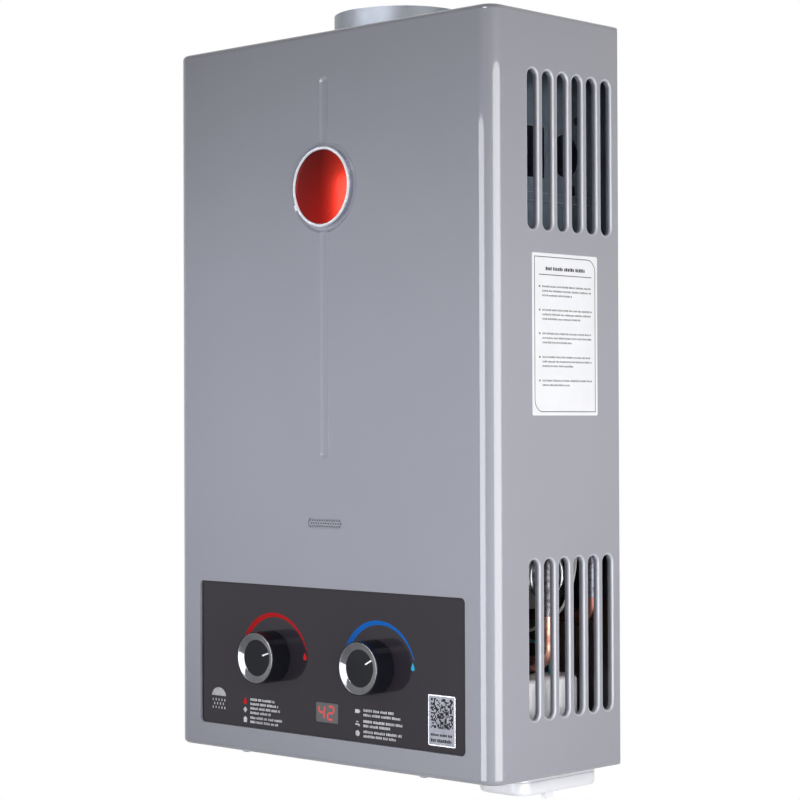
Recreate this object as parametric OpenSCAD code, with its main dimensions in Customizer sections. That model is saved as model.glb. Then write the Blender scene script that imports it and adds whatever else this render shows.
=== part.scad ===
// Wall-hung instantaneous gas water heater, open flue, with a pressed steel cover.
// Millimetres. The wall plane is y = 0, the front faces -Y, and z = 0 is half way up the case.

/* [Case] */
// Width of the case
case_w = 355; // [345:1:380]
// Depth of the case from the wall to the front
case_d = 151; // [148:1:175]
// Height of the case
case_h = 580; // [560:1:640]
// Thickness of the painted cover sheet
sheet_t = 0.8; // [0.6:0.1:1.2]
// Radius of the two upright front corners
corner_r = 13; // [6:0.5:16]
// Radius of the bends round the top, the bottom and the front edges
edge_r = 4; // [2:0.5:6]
// Width of the flange turned in under the cover
flange_w = 14; // [10:1:15]
// Thickness of the back plate and of the bottom plate
plate_t = 1; // [0.8:0.1:1.5]
// Clearance between the cover and the plates inside it
cover_gap = 0.3; // [0.2:0.1:0.6]

/* [Wall fixing] */
// Distance between the left and the right fixing holes
fix_w = 150; // [140:2:200]
// Distance from the case edge to the fixing holes
fix_out = 10; // [8:0.5:14]
// Radius of the fixing holes
fix_r = 4; // [3:0.25:5]
// Width of the fixing lugs
lug_w = 30; // [24:1:36]

/* [Side slots] */
// Slots in each bank
slot_n = 6; // [4:1:6]
// Distance between neighbouring slots
slot_pitch = 17.6; // [17:0.1:19]
// Width of a slot between the starts of its rolled edges
slot_w = 15.6; // [13:0.2:16.4]
// Height of a slot
slot_l = 125; // [90:1:140]
// Radius of the rolled edge
lip_r = 2.6; // [1.6:0.2:3.6]
// Distance from the wall to the rearmost slot
slot_back = 16.2; // [15:0.2:20]
// Distance from the top and the bottom of the case to the middle of a bank
slot_mid = 105; // [90:1:110]

/* [Control panel] */
// Width of the panel recess
panel_w = 298; // [280:1:310]
// Height of the panel recess
panel_h = 118; // [110:1:124]
// Height of the middle of the recess above the case bottom
panel_z = 79; // [76:1:90]
// Depth of the panel face behind the cover
panel_sink = 2; // [1:0.1:3]
// Thickness of the panel
panel_t = 1.5; // [1:0.1:2.5]
// Corner radius of the recess
panel_r = 4; // [2:0.5:8]
// Clearance round the panel and round the display lens
panel_gap = 0.3; // [0.2:0.1:0.6]
// Width of the display lens
lens_w = 25.4; // [20:0.2:32]
// Height of the display lens
lens_h = 16; // [12:0.2:20]
// Middle of the display lens above the case bottom
lens_z = 39.7; // [36:0.5:44]

/* [Knobs] */
// Place of the gas knob to the left of the middle
gas_x = 63; // [58:0.5:66]
// Place of the water knob to the right of the middle
water_x = 53.5; // [52:0.5:58]
// Height of both knobs above the case bottom
knob_z = 80; // [76:0.5:84]
// Radius of the knob body
knob_r = 21; // [18:0.25:23]
// Height of the knob face above the panel face
knob_h = 19.5; // [16:0.5:24]
// Clearance between a knob and the panel
knob_gap = 0.8; // [0.5:0.1:1.2]
// Depth of the bevel inside the bezel
bevel_h = 3.6; // [2:0.2:5]
// Radius of the spindles
spindle_r = 4; // [3:0.25:5]
// Running clearance of turning and sliding pins
run_gap = 0.05; // [0.02:0.01:0.1]
// Angle of the gas pointer above the right
gas_turn = 18; // [0:1:40]
// Angle of the water pointer above the right
water_turn = 28; // [0:1:40]

/* [Badge and groove] */
// Outer radius of the badge ring
badge_r = 32; // [26:0.5:36]
// Height of the middle of the badge above the case bottom
badge_z = 456; // [430:1:470]
// Radius of the pressed dish round the badge
dish_r = 36.5; // [36:0.25:42]
// Depth of the pressed dish
press_h = 1.5; // [1.2:0.1:2]
// Width of the pressed groove
groove_w = 9.5; // [8:0.5:12]
// Depth of the pressed groove
groove_h = 1.1; // [0.8:0.1:1.2]
// Width of each sloping side of the groove
groove_slope = 2.4; // [1:0.1:3]
// Top end of the groove above the case bottom
groove_top = 539; // [520:1:548]
// Bottom end of the groove above the case bottom
groove_end = 245; // [230:1:300]
// Height of the flame window above the case bottom
window_z = 189.5; // [170:0.5:210]
// Width of the flame window
window_w = 38.4; // [30:0.2:46]
// Height of the flame window
window_h = 8; // [6:0.2:10]

/* [Flue and hood] */
// Outer radius of the flue collar
flue_r = 55; // [45:0.5:58]
// Distance from the wall to the flue axis
flue_back = 61; // [60:0.5:66]
// Height of the flue collar above the case
flue_h = 22; // [18:1:40]
// Thickness of the hood and collar sheet
hood_t = 0.8; // [0.6:0.1:1.2]
// Distance from the case wall to the hood
hood_in = 27.5; // [24:0.5:34]
// Depth of the hood
hood_d = 119; // [118:1:124]
// Gap between the hood and the top of the case
hood_drop = 7; // [4:0.5:12]
// Height of the sloping upper part of the hood
slope_h = 28; // [24:1:34]
// Radius of the inspection hole in the hood side
peep_r = 17; // [12:0.5:20]

/* [Burner and heat exchanger] */
// Distance from the case wall to the burner tray
tray_in = 47.5; // [44:0.5:54]
// Depth of the burner tray
tray_d = 106; // [102:1:108]
// Distance from the wall to the burner tray
tray_back = 13; // [10:0.5:16]
// Bottom of the burner tray above the case bottom
tray_z = 128; // [124:1:134]
// Height of the burner tray
tray_h = 78; // [70:1:90]
// Number of burner blades
blade_n = 12; // [8:1:14]
// Distance from the case wall to the heat exchanger
core_in = 61.5; // [60:0.5:68]
// Depth of the heat exchanger
core_d = 98; // [96:1:100]
// Distance from the wall to the heat exchanger
core_back = 23; // [22:0.5:24]
// Height of the heat exchanger shell
core_h = 199; // [180:1:205]
// Thickness of the exchanger shell
core_t = 0.8; // [0.6:0.1:1.2]
// Number of fins
fin_n = 27; // [15:1:33]
// Height of the fins
fin_h = 42; // [36:1:50]
// Distance between neighbouring exchanger tubes
tube_pitch = 15.5; // [14:0.25:16]
// Outer radius of the exchanger tubes and pipes
tube_r = 6; // [5:0.25:6.5]
// Wall of the tubes and pipes
tube_t = 1; // [0.8:0.1:1.5]

/* [Valves and connections] */
// Distance from the wall to the valves and connections
valve_back = 51; // [48:0.5:54]
// Outer radius of the half inch pipe thread
thread_r = 10.48; // [9:0.01:12]
// Length of the threads below the case
thread_l = 16; // [12:0.5:18]
// Bore of the connections
port_r = 6.5; // [5:0.25:7.5]
// Distance from the left case wall to the hot outlet
hot_in = 32.5; // [30:0.5:36]
// Radius of the push rod
rod_r = 2.5; // [2:0.1:3]
// Travel of the push rod
rod_travel = 5; // [3:0.5:5]
// Radius of the diaphragm housing
cap_r = 27; // [24:0.5:28]

/* [Battery box] */
// Radius of a battery cell
cell_r = 16.6; // [15:0.1:17]
// Length of a battery cell with its nub
cell_l = 61; // [58:0.5:62]
// Clearance round a cell
cell_gap = 0.8; // [0.5:0.1:1.2]
// Wall of the battery box
box_t = 2; // [1.5:0.1:2.5]
// Top of the battery box above the case bottom
box_top = 71; // [70:0.5:76]
// Distance from the right case wall to the middle of the box
box_in = 41; // [38:0.5:44]
// Distance from the wall to the middle of the box
box_back = 53; // [51:0.5:60]
// Width of the battery lid
lid_w = 49; // [46:0.5:52]
// Length of the battery lid
lid_l = 95; // [90:0.5:98]
// Depth of the battery lid below the case
lid_h = 15.5; // [14:0.5:18]
// Radius of the lid hinge pin
hinge_r = 1; // [0.8:0.1:1.3]

/* [Hidden] */
$fn = 64;

// A small overlap so that cuts pass clean through a face
cut = 1;
front_y = -case_d;
inner_x = case_w/2 - sheet_t - cover_gap;
plate_z = sheet_t;
plate_top = plate_z + plate_t;

// Cover pockets
pocket_h = panel_sink + panel_t;
panel_y = front_y + panel_sink;
panel_back_y = front_y + pocket_h;
dish_slope = 1.2*press_h;
collar_gap = 2.5;
panel_hole_r = spindle_r + 2;
cover_hole_r = spindle_r + 5;
led_gap = 1;

// Knob and spindle
knob_base_y = panel_y - knob_gap;
knob_face_y = panel_y - knob_h;
bezel_r = knob_r - 0.55;
bezel_in_r = knob_r - 5.2;
bezel_t = 1;
knob_wall = 2.2;
hub_r = spindle_r + 3;
spindle_end_y = -valve_back - 34;
spindle_front_y = knob_face_y + bevel_h + bezel_t + 2.5;
flat_cut = 1.2;
pointer_w = 1.7;
pointer_in = 7.5;
pointer_h = 1.2;

// Hood, exchanger and burner
hood_x = case_w/2 - hood_in;
tray_x = case_w/2 - tray_in;
core_x = case_w/2 - core_in;
hot_x = case_w/2 - hot_in;
hood_top = case_h - hood_drop;
tray_top = tray_z + tray_h;
core_z = tray_top;
core_top = core_z + core_h;
hood_front_y = -plate_t - hood_d;
hood_mid_z = hood_top - slope_h;
slope_x = flue_r + 9;
collar_lip = 4;
collar_bead_z = 6;
collar_bead_r = 1.2;
tray_t = 1;
tray_lip = 20;
hole_roll = 2;
core_front_y = -core_back - core_d;
tube_n = 6;
tube_row = (tube_n - 1)*tube_pitch;
tube_mid_y = -core_back - core_d/2;
tube_z = core_top - 20;
fin_t = 0.5;
fin_gap = 0.05;
fin_clear = 1;
pipe_bend = 11;
coil_bend = 8;
feed_bend = 16;
coil_gap = 0.3;
coil_z = core_z + 44;
coil_front_y = core_front_y - tube_r - coil_gap;
coil_rear_y = -core_back + tube_r + coil_gap;
coil_left_x = -core_x - tube_r - coil_gap;
riser_x = core_x + 18;
feed_x = case_w/2 - 32.5;
feed_joint_z = 118;
hot_back_x = case_w/2 - 22.5;
hot_back = 10;
hot_run_z = 115;
hot_joint_z = hot_run_z + 16;
sleeve_l = 10;
sleeve_t = 1.2;

// Valves
valve_y = -valve_back;
valve_r = 19;
valve_left = 30;
valve_right = 24;
boss_r = 11;
branch_r = 12;
seat_r = 15;
seat_t = 5;
neck_l = 1;
boss_front_y = valve_y - 54;
spindle_hole_y = spindle_end_y + 2;
cap_x = water_x - 20;
cap_depth = 8;
cap_wall = 2;
skin_t = 1.2;
rod_disc_r = 15;
rod_disc_t = 1.5;
rod_clear = 0.3;
gas_arm_x = -gas_x + 32;
arm_r = 8;
outlet_r = 10;
rod_in = 12;
lever_z = knob_z + 13.5;
lever_t = 0.8;
peg_r = 1.5;
peg_x = -6;
lever_x = peg_x - peg_r - rod_clear;
lever_w = 3.2;
lever_y = valve_y - rod_r - 0.7 - lever_w;
lever_pin_r = 0.9;
switch_w = 20;
switch_d = 7;
switch_h = 11;
bracket_t = 1.2;
gas_out_x = -gas_x + 15;
manifold_z = 112;
manifold_h = 14;
manifold_w = 16;
blade_margin = 27.7;
blade_pitch = 2*(tray_x - blade_margin)/(blade_n - 1);
blade_z = tray_z + 7;
injector_r = 3;
solenoid_x = -gas_x - 15;
feed_port_x = water_x + 38;

// Battery box
box_x = case_w/2 - box_in;
box_y = -box_back;
lobe_r = cell_r + cell_gap + box_t;
cell_pitch = 2*cell_r + 2.8;
lid_gap = 0.3;
collar_h = 5;
lid_top = -collar_h - lid_gap;
lid_r = 12;
lid_edge = 3;
lid_t = 2;
tab_w = 9;
tab_front = 17;
tab_in = 7;
tab_t = 5;
tab_h = 4;
hinge_x = box_x - lid_w/2 - 3.1;
hinge_z = lid_top - 2.4;
knuckle_r = hinge_r + 1.6;
knuckle_l = 60;
ear_l = 8;
ear_gap = 0.5;
contact_t = 0.5;
cell_top = box_top - box_t - contact_t;
cell_bottom = cell_top - cell_l;
pedestal_r = 12;
pedestal_h = 7;
pedestal_top = -lid_h + lid_t + pedestal_h;

// Power switch on the underside
switch_x = -8;
rocker_y = front_y + 48;
rocker_w = 15;
rocker_d = 10;
rocker_tilt = 8;
bezel_w = 21;
bezel_d = 15;
bezel_h = 2;
rocker_pin_r = 1.2;
rocker_z = 3.2;
rocker_gap = 0.5;

// Control box
ctrl_w = 66;
ctrl_d = 21;
ctrl_h = 66;
ctrl_z = 26;
ctrl_x = 7;
foot_w = 12;
foot_h = 18;
foot_t = 3;
rib_n = 5;
rib_w = 4;

// Wire routes, chosen by hand, and the gauge of the wires
wire_r = 1.3;
wire_sides = 8;
battery_route = [
    [ctrl_x + ctrl_w/2, -18, 84], [46, -18, 84], [56, -19, 88], [74, -22, 93],
    [box_x - 40.5, -26, 95], [box_x - 18.5, -31, 94], [box_x - 5.5, -35, 89],
    [box_x - 1.5, -36, 79], [box_x - 1.5, -36, box_top]
];
spark_route = [
    [ctrl_x + ctrl_w/2, -12, 80], [46, -12, 80], [58, -13, 84], [tray_x - 50, -20, 96],
    [tray_x - 22, -24, 104], [tray_x + 4, -25, 118], [tray_x + 18, -26, 138], [tray_x + 23, -26, 160],
    [tray_x + 22, -26, 176], [tray_x + 17, -26, 182], [tray_x + 12, -26, 182]
];

// Shared shapes

module on_wall() {
    translate([0, 0, -case_h/2]) children();
}

// Turns a flat outline to face the front, with its depth running towards the wall
module facing(y, depth) {
    translate([0, y + depth, 0]) rotate([90, 0, 0]) linear_extrude(height = depth) children();
}

module rounded_rect(w, h, r) {
    square([w - 2*r, h], center = true);
    square([w, h - 2*r], center = true);
    for (sx = [-1, 1], sy = [-1, 1])
        translate([sx*(w/2 - r), sy*(h/2 - r)]) circle(r);
}

module stadium(w, h) {
    square([w - h, h], center = true);
    for (s = [-1, 1])
        translate([s*(w - h)/2, 0]) circle(h/2);
}

// Section from an upright to the outer face, with bends at its top and bottom
module bend_section(r, h, bend_r) {
    square([r - bend_r, h]);
    translate([0, bend_r]) square([r, h - 2*bend_r]);
    for (z = [bend_r, h - bend_r])
        translate([r - bend_r, z]) circle(bend_r);
}

// A box with rounded front corners and bends: a middle, a front run, two side runs and two corners
module bent_box(w, d, h, upright_r, bend_r) {
    flat_x = w/2 - upright_r;
    flat_d = d - upright_r;
    translate([-flat_x, -flat_d, 0]) cube([2*flat_x, flat_d, h]);
    translate([flat_x, -flat_d, 0]) rotate([90, 0, -90]) linear_extrude(height = 2*flat_x)
        bend_section(upright_r, h, bend_r);
    translate([flat_x, 0, 0]) rotate([90, 0, 0]) linear_extrude(height = flat_d)
        bend_section(upright_r, h, bend_r);
    translate([-flat_x, -flat_d, 0]) rotate([90, 0, 180]) linear_extrude(height = flat_d)
        bend_section(upright_r, h, bend_r);
    for (s = [-1, 1])
        translate([s*flat_x, -flat_d, 0]) rotate(s == 1 ? -90 : 180) rotate_extrude(angle = 90)
            bend_section(upright_r, h, bend_r);
}

// A revolved profile with its axis along Y, drawn in radius and depth behind y
module revolved(x, y, z) {
    translate([x, y, z]) rotate([-90, 0, 0]) rotate_extrude() children();
}

module rod_y(x, y, z, r, l) {
    translate([x, y, z]) rotate([-90, 0, 0]) cylinder(r = r, h = l);
}

module rod_x(x, y, z, r, l) {
    translate([x, y, z]) rotate([0, 90, 0]) cylinder(r = r, h = l);
}

module rod_z(x, y, z, r, l) {
    translate([x, y, z]) cylinder(r = r, h = l);
}

// Straight piece of pipe along one of the main axes
module pipe_straight(p, q, r) {
    d = (q - p)/norm(q - p);
    e = [d[1], d[2], d[0]];
    f = cross(d, e);
    multmatrix([
        [e[0], f[0], d[0], p[0]],
        [e[1], f[1], d[1], p[1]],
        [e[2], f[2], d[2], p[2]],
        [0, 0, 0, 1]
    ]) cylinder(r = r, h = norm(q - p));
}

// Quarter bend at a corner, from direction a to direction b
module pipe_elbow(corner, a, b, bend, r) {
    c = corner - bend*a + bend*b;
    n = cross(a, b);
    multmatrix([
        [-b[0], a[0], n[0], c[0]],
        [-b[1], a[1], n[1], c[1]],
        [-b[2], a[2], n[2], c[2]],
        [0, 0, 0, 1]
    ]) rotate_extrude(angle = 90) translate([bend, 0]) circle(r);
}

function unit(v) = v/norm(v);

// Rod along a route of square corners, each turned with the same bend
module pipe_rod(route, bend, r, ends = 0) {
    last = len(route) - 1;
    for (i = [0 : last - 1]) {
        d = unit(route[i + 1] - route[i]);
        start = i == 0 ? route[0] - ends*d : route[i] + bend*d;
        stop = i == last - 1 ? route[last] + ends*d : route[i + 1] - bend*d;
        pipe_straight(start, stop, r);
    }
    for (i = [1 : 1 : last - 1])
        pipe_elbow(route[i], unit(route[i] - route[i - 1]), unit(route[i + 1] - route[i]), bend, r);
}

module pipe(route, bend, r) {
    difference() {
        pipe_rod(route, bend, r);
        pipe_rod(route, bend, r - tube_t, cut);
    }
}

// Point on a smooth curve through a hand-picked route, at t from 0 to the last index
function pick(route, i) = route[max(0, min(len(route) - 1, i))];
function smooth(route, t) =
    let (i = min(floor(t), len(route) - 2), u = t - i,
         a = pick(route, i - 1), b = pick(route, i), c = pick(route, i + 1), d = pick(route, i + 2))
    0.5*(2*b + (c - a)*u + (2*a - 5*b + 4*c - d)*u*u + (3*b - a - 3*c + d)*u*u*u);

// Round tube swept along points, closed at both ends
module swept(points, r, sides, up = [0, 1, 0.2]) {
    n = len(points);
    tangents = [for (i = [0 : n - 1]) unit(points[min(i + 1, n - 1)] - points[max(i - 1, 0)])];
    rings = [
        for (i = [0 : n - 1])
            let (t = tangents[i], a = unit(cross(t, up)), b = cross(t, a))
                for (k = [0 : sides - 1])
                    points[i] + r*cos(360*k/sides)*a + r*sin(360*k/sides)*b
    ];
    walls = [
        for (i = [0 : n - 2], k = [0 : sides - 1])
            let (a = i*sides + k, b = i*sides + (k + 1) % sides)
                each [[a, b, b + sides], [a, b + sides, a + sides]]
    ];
    first = [for (k = [1 : sides - 2]) [0, k + 1, k]];
    base = (n - 1)*sides;
    final = [for (k = [1 : sides - 2]) [base, base + k, base + k + 1]];
    polyhedron(points = rings, faces = [for (f = concat(walls, first, final)) [f[0], f[2], f[1]]]);
}

module wire(route, steps) {
    swept([for (i = [0 : steps]) smooth(route, i*(len(route) - 1)/steps)], wire_r, wire_sides);
}

// Case

function slot_y(i) = -slot_back - i*slot_pitch;
bank_zs = [slot_mid, case_h - slot_mid];

// Quarter ring of sheet that turns from the wall face inwards
module lip_profile() {
    translate([slot_w/2, -lip_r]) intersection() {
        difference() {
            circle(lip_r);
            circle(lip_r - sheet_t);
        }
        translate([-lip_r, 0]) square([lip_r, lip_r]);
    }
}

// Rolled edge of one slot: two straight runs and two half rings
module slot_lip() {
    straight = slot_l - slot_w;
    for (turn = [0, 180])
        rotate(turn) {
            translate([0, straight/2, 0]) rotate([90, 0, 0]) linear_extrude(height = straight)
                lip_profile();
            translate([0, straight/2, 0]) rotate_extrude(angle = 180) lip_profile();
        }
}

// Places a child on every slot of the side that s names
module each_slot(s) {
    for (i = [0 : slot_n - 1], z = bank_zs)
        translate([s*case_w/2, slot_y(i), z]) rotate([90, 0, s*90]) children();
}

// Half of a section through a pressing with sloping sides, grown by the sheet on its rear side,
// with a lead in front of the cover when it is used as a cut
module press_section(half_w, slope, depth, grow, lead) {
    polygon([
        [0, -lead], [half_w + grow, -lead], [half_w + grow, 0],
        [half_w - slope + grow, depth + grow], [0, depth + grow]
    ]);
}

// Long pressing with round ends, from the low to the high end, sunk from y = 0 towards +Y
module long_pressing(low, high, half_w, slope, depth, grow, lead) {
    for (s = [0, 1])
        translate([0, 0, low]) linear_extrude(height = high - low)
            mirror([s, 0]) press_section(half_w, slope, depth, grow, lead);
    for (top = [0, 1])
        translate([0, 0, top == 1 ? high : low]) rotate([0, top*180, 0]) rotate([-90, 0, 0])
            rotate_extrude(angle = 180) press_section(half_w, slope, depth, grow, lead);
}

// Recess pressed into the front: the groove and the dish
module pressing(grow, lead) {
    translate([0, front_y, 0])
        long_pressing(groove_end, groove_top, groove_w/2, groove_slope, groove_h, grow, lead);
    revolved(0, front_y, badge_z) press_section(dish_r, dish_slope, press_h, grow, lead);
}

module panel_pocket(grow, depth) {
    translate([0, 0, panel_z]) facing(front_y, depth)
        rounded_rect(panel_w + 2*grow, panel_h + 2*grow, panel_r + grow);
}

module cover_shell() {
    rear = case_d - plate_t - cover_gap;
    translate([0, -plate_t - cover_gap, 0]) difference() {
        bent_box(case_w, rear, case_h, corner_r, edge_r);
        translate([0, cut, sheet_t]) bent_box(case_w - 2*sheet_t, rear - sheet_t + cut,
            case_h - 2*sheet_t, corner_r - sheet_t, edge_r - sheet_t);
    }
    panel_pocket(sheet_t, pocket_h + sheet_t);
    pressing(sheet_t, 0);
}

module front_cover() {
    color("#8f9299") on_wall() {
        difference() {
            cover_shell();
            // open bottom inside the turned flange
            translate([-case_w/2 + flange_w, front_y + flange_w, -cut])
                cube([case_w - 2*flange_w, case_d, sheet_t + 2*cut]);
            // collar cut-out, open to the rear
            rod_z(0, -flue_back, case_h - 2*sheet_t, flue_r + collar_gap, 3*sheet_t);
            translate([-flue_r - collar_gap, -flue_back, case_h - 2*sheet_t])
                cube([2*(flue_r + collar_gap), case_d, 3*sheet_t]);
            translate([0, -cut, 0]) panel_pocket(0, pocket_h + cut);
            pressing(0, cut);
            // openings in the pocket floor for the spindles and the display
            for (x = [-gas_x, water_x])
                rod_y(x, front_y, knob_z, cover_hole_r, pocket_h + sheet_t + cut);
            translate([0, 0, lens_z]) facing(front_y, pocket_h + sheet_t + cut)
                square([lens_w - 2*led_gap, lens_h - 2*led_gap], center = true);
            translate([0, 0, window_z]) facing(front_y - cut, sheet_t + 2*cut)
                stadium(window_w, window_h);
            for (s = [-1, 1])
                each_slot(s) translate([0, 0, -sheet_t - cut]) linear_extrude(height = sheet_t + 2*cut)
                    rotate(90) stadium(slot_l, slot_w);
            for (s = [-1, 1]) {
                rod_z(s*screw_x, screw_front_y, -cut, screw_hole_r, sheet_t + 2*cut);
                rod_z(s*screw_x, screw_rear_y, case_h - sheet_t - cut, screw_hole_r, sheet_t + 2*cut);
            }
        }
        for (s = [-1, 1])
            each_slot(s) slot_lip();
    }
}

// Cover screws: two up through the bottom flange and two down through the top
screw_x = 100;
screw_front_y = front_y + 8;
screw_rear_y = -12;
screw_r = 2;
screw_hole_r = screw_r + 0.2;
screw_head_r = 4;
screw_head_h = 2.2;
screw_l = 6;
top_flange = 20;
top_flange_x = flue_r + 8;

module cover_screw() {
    rotate_extrude() polygon([
        [0, screw_head_h], [screw_head_r*0.6, screw_head_h], [screw_head_r, screw_head_h*0.5],
        [screw_head_r, 0], [screw_r, 0], [screw_r, -screw_l], [0, -screw_l]
    ]);
}

module cover_screws() {
    color("silver") on_wall()
        for (s = [-1, 1]) {
            translate([s*screw_x, screw_front_y, 0]) rotate([180, 0, 0]) cover_screw();
            translate([s*screw_x, screw_rear_y, case_h]) cover_screw();
        }
}

flange_d = 6;
flange_out = case_w/2 - edge_r - cover_gap;
back_top = case_h - sheet_t - cover_gap;
stiffener_x = 100;
stiffener_w = 14;
stiffener_h = 2;
stiffener_low = core_z + 6;
stiffener_high = core_top - 20;

// Upright stiffening ribs, pressed into the back plate from the wall side
module stiffeners(grow, lead) {
    for (s = [-1, 0, 1])
        translate([s*stiffener_x, 0, 0]) rotate(180) long_pressing(stiffener_low, stiffener_high,
            stiffener_w/2, stiffener_h, stiffener_h, grow, lead);
}

module back_plate() {
    color("#b9bdc2") on_wall() difference() {
        union() {
            stiffeners(plate_t, 0);
            translate([-inner_x, -plate_t, plate_z]) cube([2*inner_x, plate_t, back_top - plate_z]);
            // side and top flanges, kept clear of the bends in the cover
            for (s = [-1, 1])
                translate([s*(inner_x - plate_t/2) - plate_t/2, -plate_t - flange_d, edge_r])
                    cube([plate_t, flange_d + plate_t, case_h - 2*edge_r]);
            for (s = [-1, 1])
                translate([s*(flange_out + top_flange_x)/2 - (flange_out - top_flange_x)/2,
                           -plate_t - top_flange, back_top - plate_t])
                    cube([flange_out - top_flange_x, top_flange + plate_t, plate_t]);
            for (s = [-1, 1], top = [0, 1]) {
                hole_z = top == 1 ? case_h + fix_out : -fix_out;
                rod_y(s*fix_w/2, -plate_t, hole_z, lug_w/2, plate_t);
                translate([s*fix_w/2 - lug_w/2, -plate_t, top == 1 ? case_h - fix_out : hole_z])
                    cube([lug_w, plate_t, 2*fix_out]);
            }
        }
        stiffeners(0, cut);
        for (s = [-1, 1], z = [-fix_out, case_h + fix_out])
            rod_y(s*fix_w/2, -plate_t - cut, z, fix_r, plate_t + 2*cut);
        for (s = [-1, 1])
            rod_z(s*screw_x, screw_rear_y, back_top - plate_t - cut, screw_hole_r, plate_t + 2*cut);
    }
}

vent_n = 5;
vent_w = 34;
vent_h = 6;
vent_pitch = 46;
rear_turn = 10;
box_hole_gap = 0.5;

module bottom_plate() {
    half_w = case_w/2 - edge_r - cover_gap;
    plate_d = case_d - edge_r - cover_gap - plate_t;
    color("#b9bdc2") on_wall() difference() {
        union() {
            translate([-half_w, -plate_t - plate_d, plate_z]) cube([2*half_w, plate_d, plate_t]);
            translate([-half_w + flange_d, -2*plate_t, plate_z])
                cube([2*(half_w - flange_d), plate_t, rear_turn]);
        }
        // square off the front corners so that the plate clears the cover bends
        for (s = [-1, 1])
            translate([s*half_w, -plate_t - plate_d, plate_z - cut]) rotate(45)
                cube([corner_r*1.3, corner_r*1.3, 2*(plate_t + 2*cut)], center = true);
        for (x = [-hot_x, -gas_x, water_x])
            rod_z(x, valve_y, plate_z - cut, thread_r + 0.4, plate_t + 2*cut);
        for (s = [-1, 1])
            rod_z(s*screw_x, screw_front_y, plate_z - cut, screw_hole_r, plate_t + 2*cut);
        translate([0, 0, plate_z - cut]) linear_extrude(height = plate_t + 2*cut)
            lobes_outline(lobe_r + box_hole_gap);
        translate([switch_x, rocker_y, plate_z]) cube([
            bezel_w - 2 + 0.4, bezel_d - 2 + 0.4, 2*(plate_t + 2*cut)], center = true);
        for (i = [0 : vent_n - 1])
            translate([(i - (vent_n - 1)/2)*vent_pitch - 30, front_y + 24, plate_z - cut])
                linear_extrude(height = plate_t + 2*cut) stadium(vent_w, vent_h);
    }
}

// Front panel, display and badge

module control_panel() {
    color("#3b3a3e") on_wall() difference() {
        translate([0, 0, panel_z]) facing(panel_y, panel_t)
            rounded_rect(panel_w - 2*panel_gap, panel_h - 2*panel_gap, panel_r - panel_gap);
        for (x = [-gas_x, water_x])
            rod_y(x, panel_y - cut, knob_z, panel_hole_r, panel_t + 2*cut);
        translate([0, 0, lens_z]) facing(panel_y - cut, panel_t + 2*cut)
            square([lens_w, lens_h], center = true);
    }
}

module display_lens() {
    color("#5a5759") on_wall() translate([0, 0, lens_z]) facing(panel_y, panel_t)
        rounded_rect(lens_w - 2*panel_gap, lens_h - 2*panel_gap, 0.8);
}

board_w = 44;
board_h = 26;
board_t = 1.6;
led_d = 7;

module display_module() {
    led_y = panel_back_y + sheet_t;
    color("darkgreen") on_wall() difference() {
        translate([0, 0, lens_z]) {
            facing(led_y, led_d) square([lens_w, lens_h], center = true);
            facing(led_y + led_d, board_t) rounded_rect(board_w, board_h, 2);
        }
        for (s = [-1, 1])
            rod_y(s*(board_w/2 - 4), led_y, lens_z, 1.6, led_d + board_t + cut);
    }
}

hole_cols = 13;
hole_rows = 3;
hole_pitch = 2.75;
hole_r = 0.75;

module flame_window() {
    rim = 4;
    color("#9a9ca3") on_wall() translate([0, 0, window_z]) difference() {
        facing(front_y + sheet_t, sheet_t) stadium(window_w + 2*rim, window_h + 2*rim);
        for (c = [0 : hole_cols - 1], r = [0 : hole_rows - 1])
            rod_y((c - (hole_cols - 1)/2)*hole_pitch + (r % 2)*hole_pitch/2 - hole_pitch/4,
                front_y, (r - (hole_rows - 1)/2)*hole_pitch*0.86, hole_r, 3*sheet_t);
    }
}

ring_h = 5.3;
ring_w = 2.6;
dome_rise = 1.6;

module badge_ring() {
    color("silver") on_wall() revolved(0, front_y + press_h - ring_h, badge_z) polygon([
        [badge_r - ring_w, 0.8], [badge_r - ring_w + 0.7, 0], [badge_r - 0.8, 0], [badge_r, 0.9],
        [badge_r, ring_h], [badge_r - ring_w, ring_h]
    ]);
}

module badge_dome() {
    r = badge_r - ring_w - 0.1;
    base = ring_h - 1.4;
    ball = (r*r + dome_rise*dome_rise)/(2*dome_rise);
    // the dome is a slice of a large circle, turned about the badge axis
    color("firebrick") on_wall() revolved(0, front_y + press_h - base - dome_rise, badge_z) {
        translate([0, dome_rise]) square([r, base]);
        intersection() {
            translate([0, ball]) circle(ball, $fn = 720);
            square([r, dome_rise]);
        }
    }
}

// Knobs

// Knob shell with a hub, its front recessed for the bezel
module knob(x) {
    length = knob_base_y - knob_face_y;
    disc = bevel_h + bezel_t + 2;
    difference() {
        revolved(x, knob_face_y, knob_z) polygon([
            [0, bevel_h], [bezel_in_r, bevel_h], [bezel_in_r, bevel_h + bezel_t],
            [bezel_r, bevel_h + bezel_t], [bezel_r, 0.3], [bezel_r + 0.15, 0], [knob_r - 0.2, 0],
            [knob_r, 0.4], [knob_r, length], [knob_r - knob_wall, length], [knob_r - knob_wall, disc],
            [hub_r, disc], [hub_r, length], [0, length]
        ]);
        spindle_rod(x, spindle_r + run_gap, run_gap);
    }
}

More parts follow.
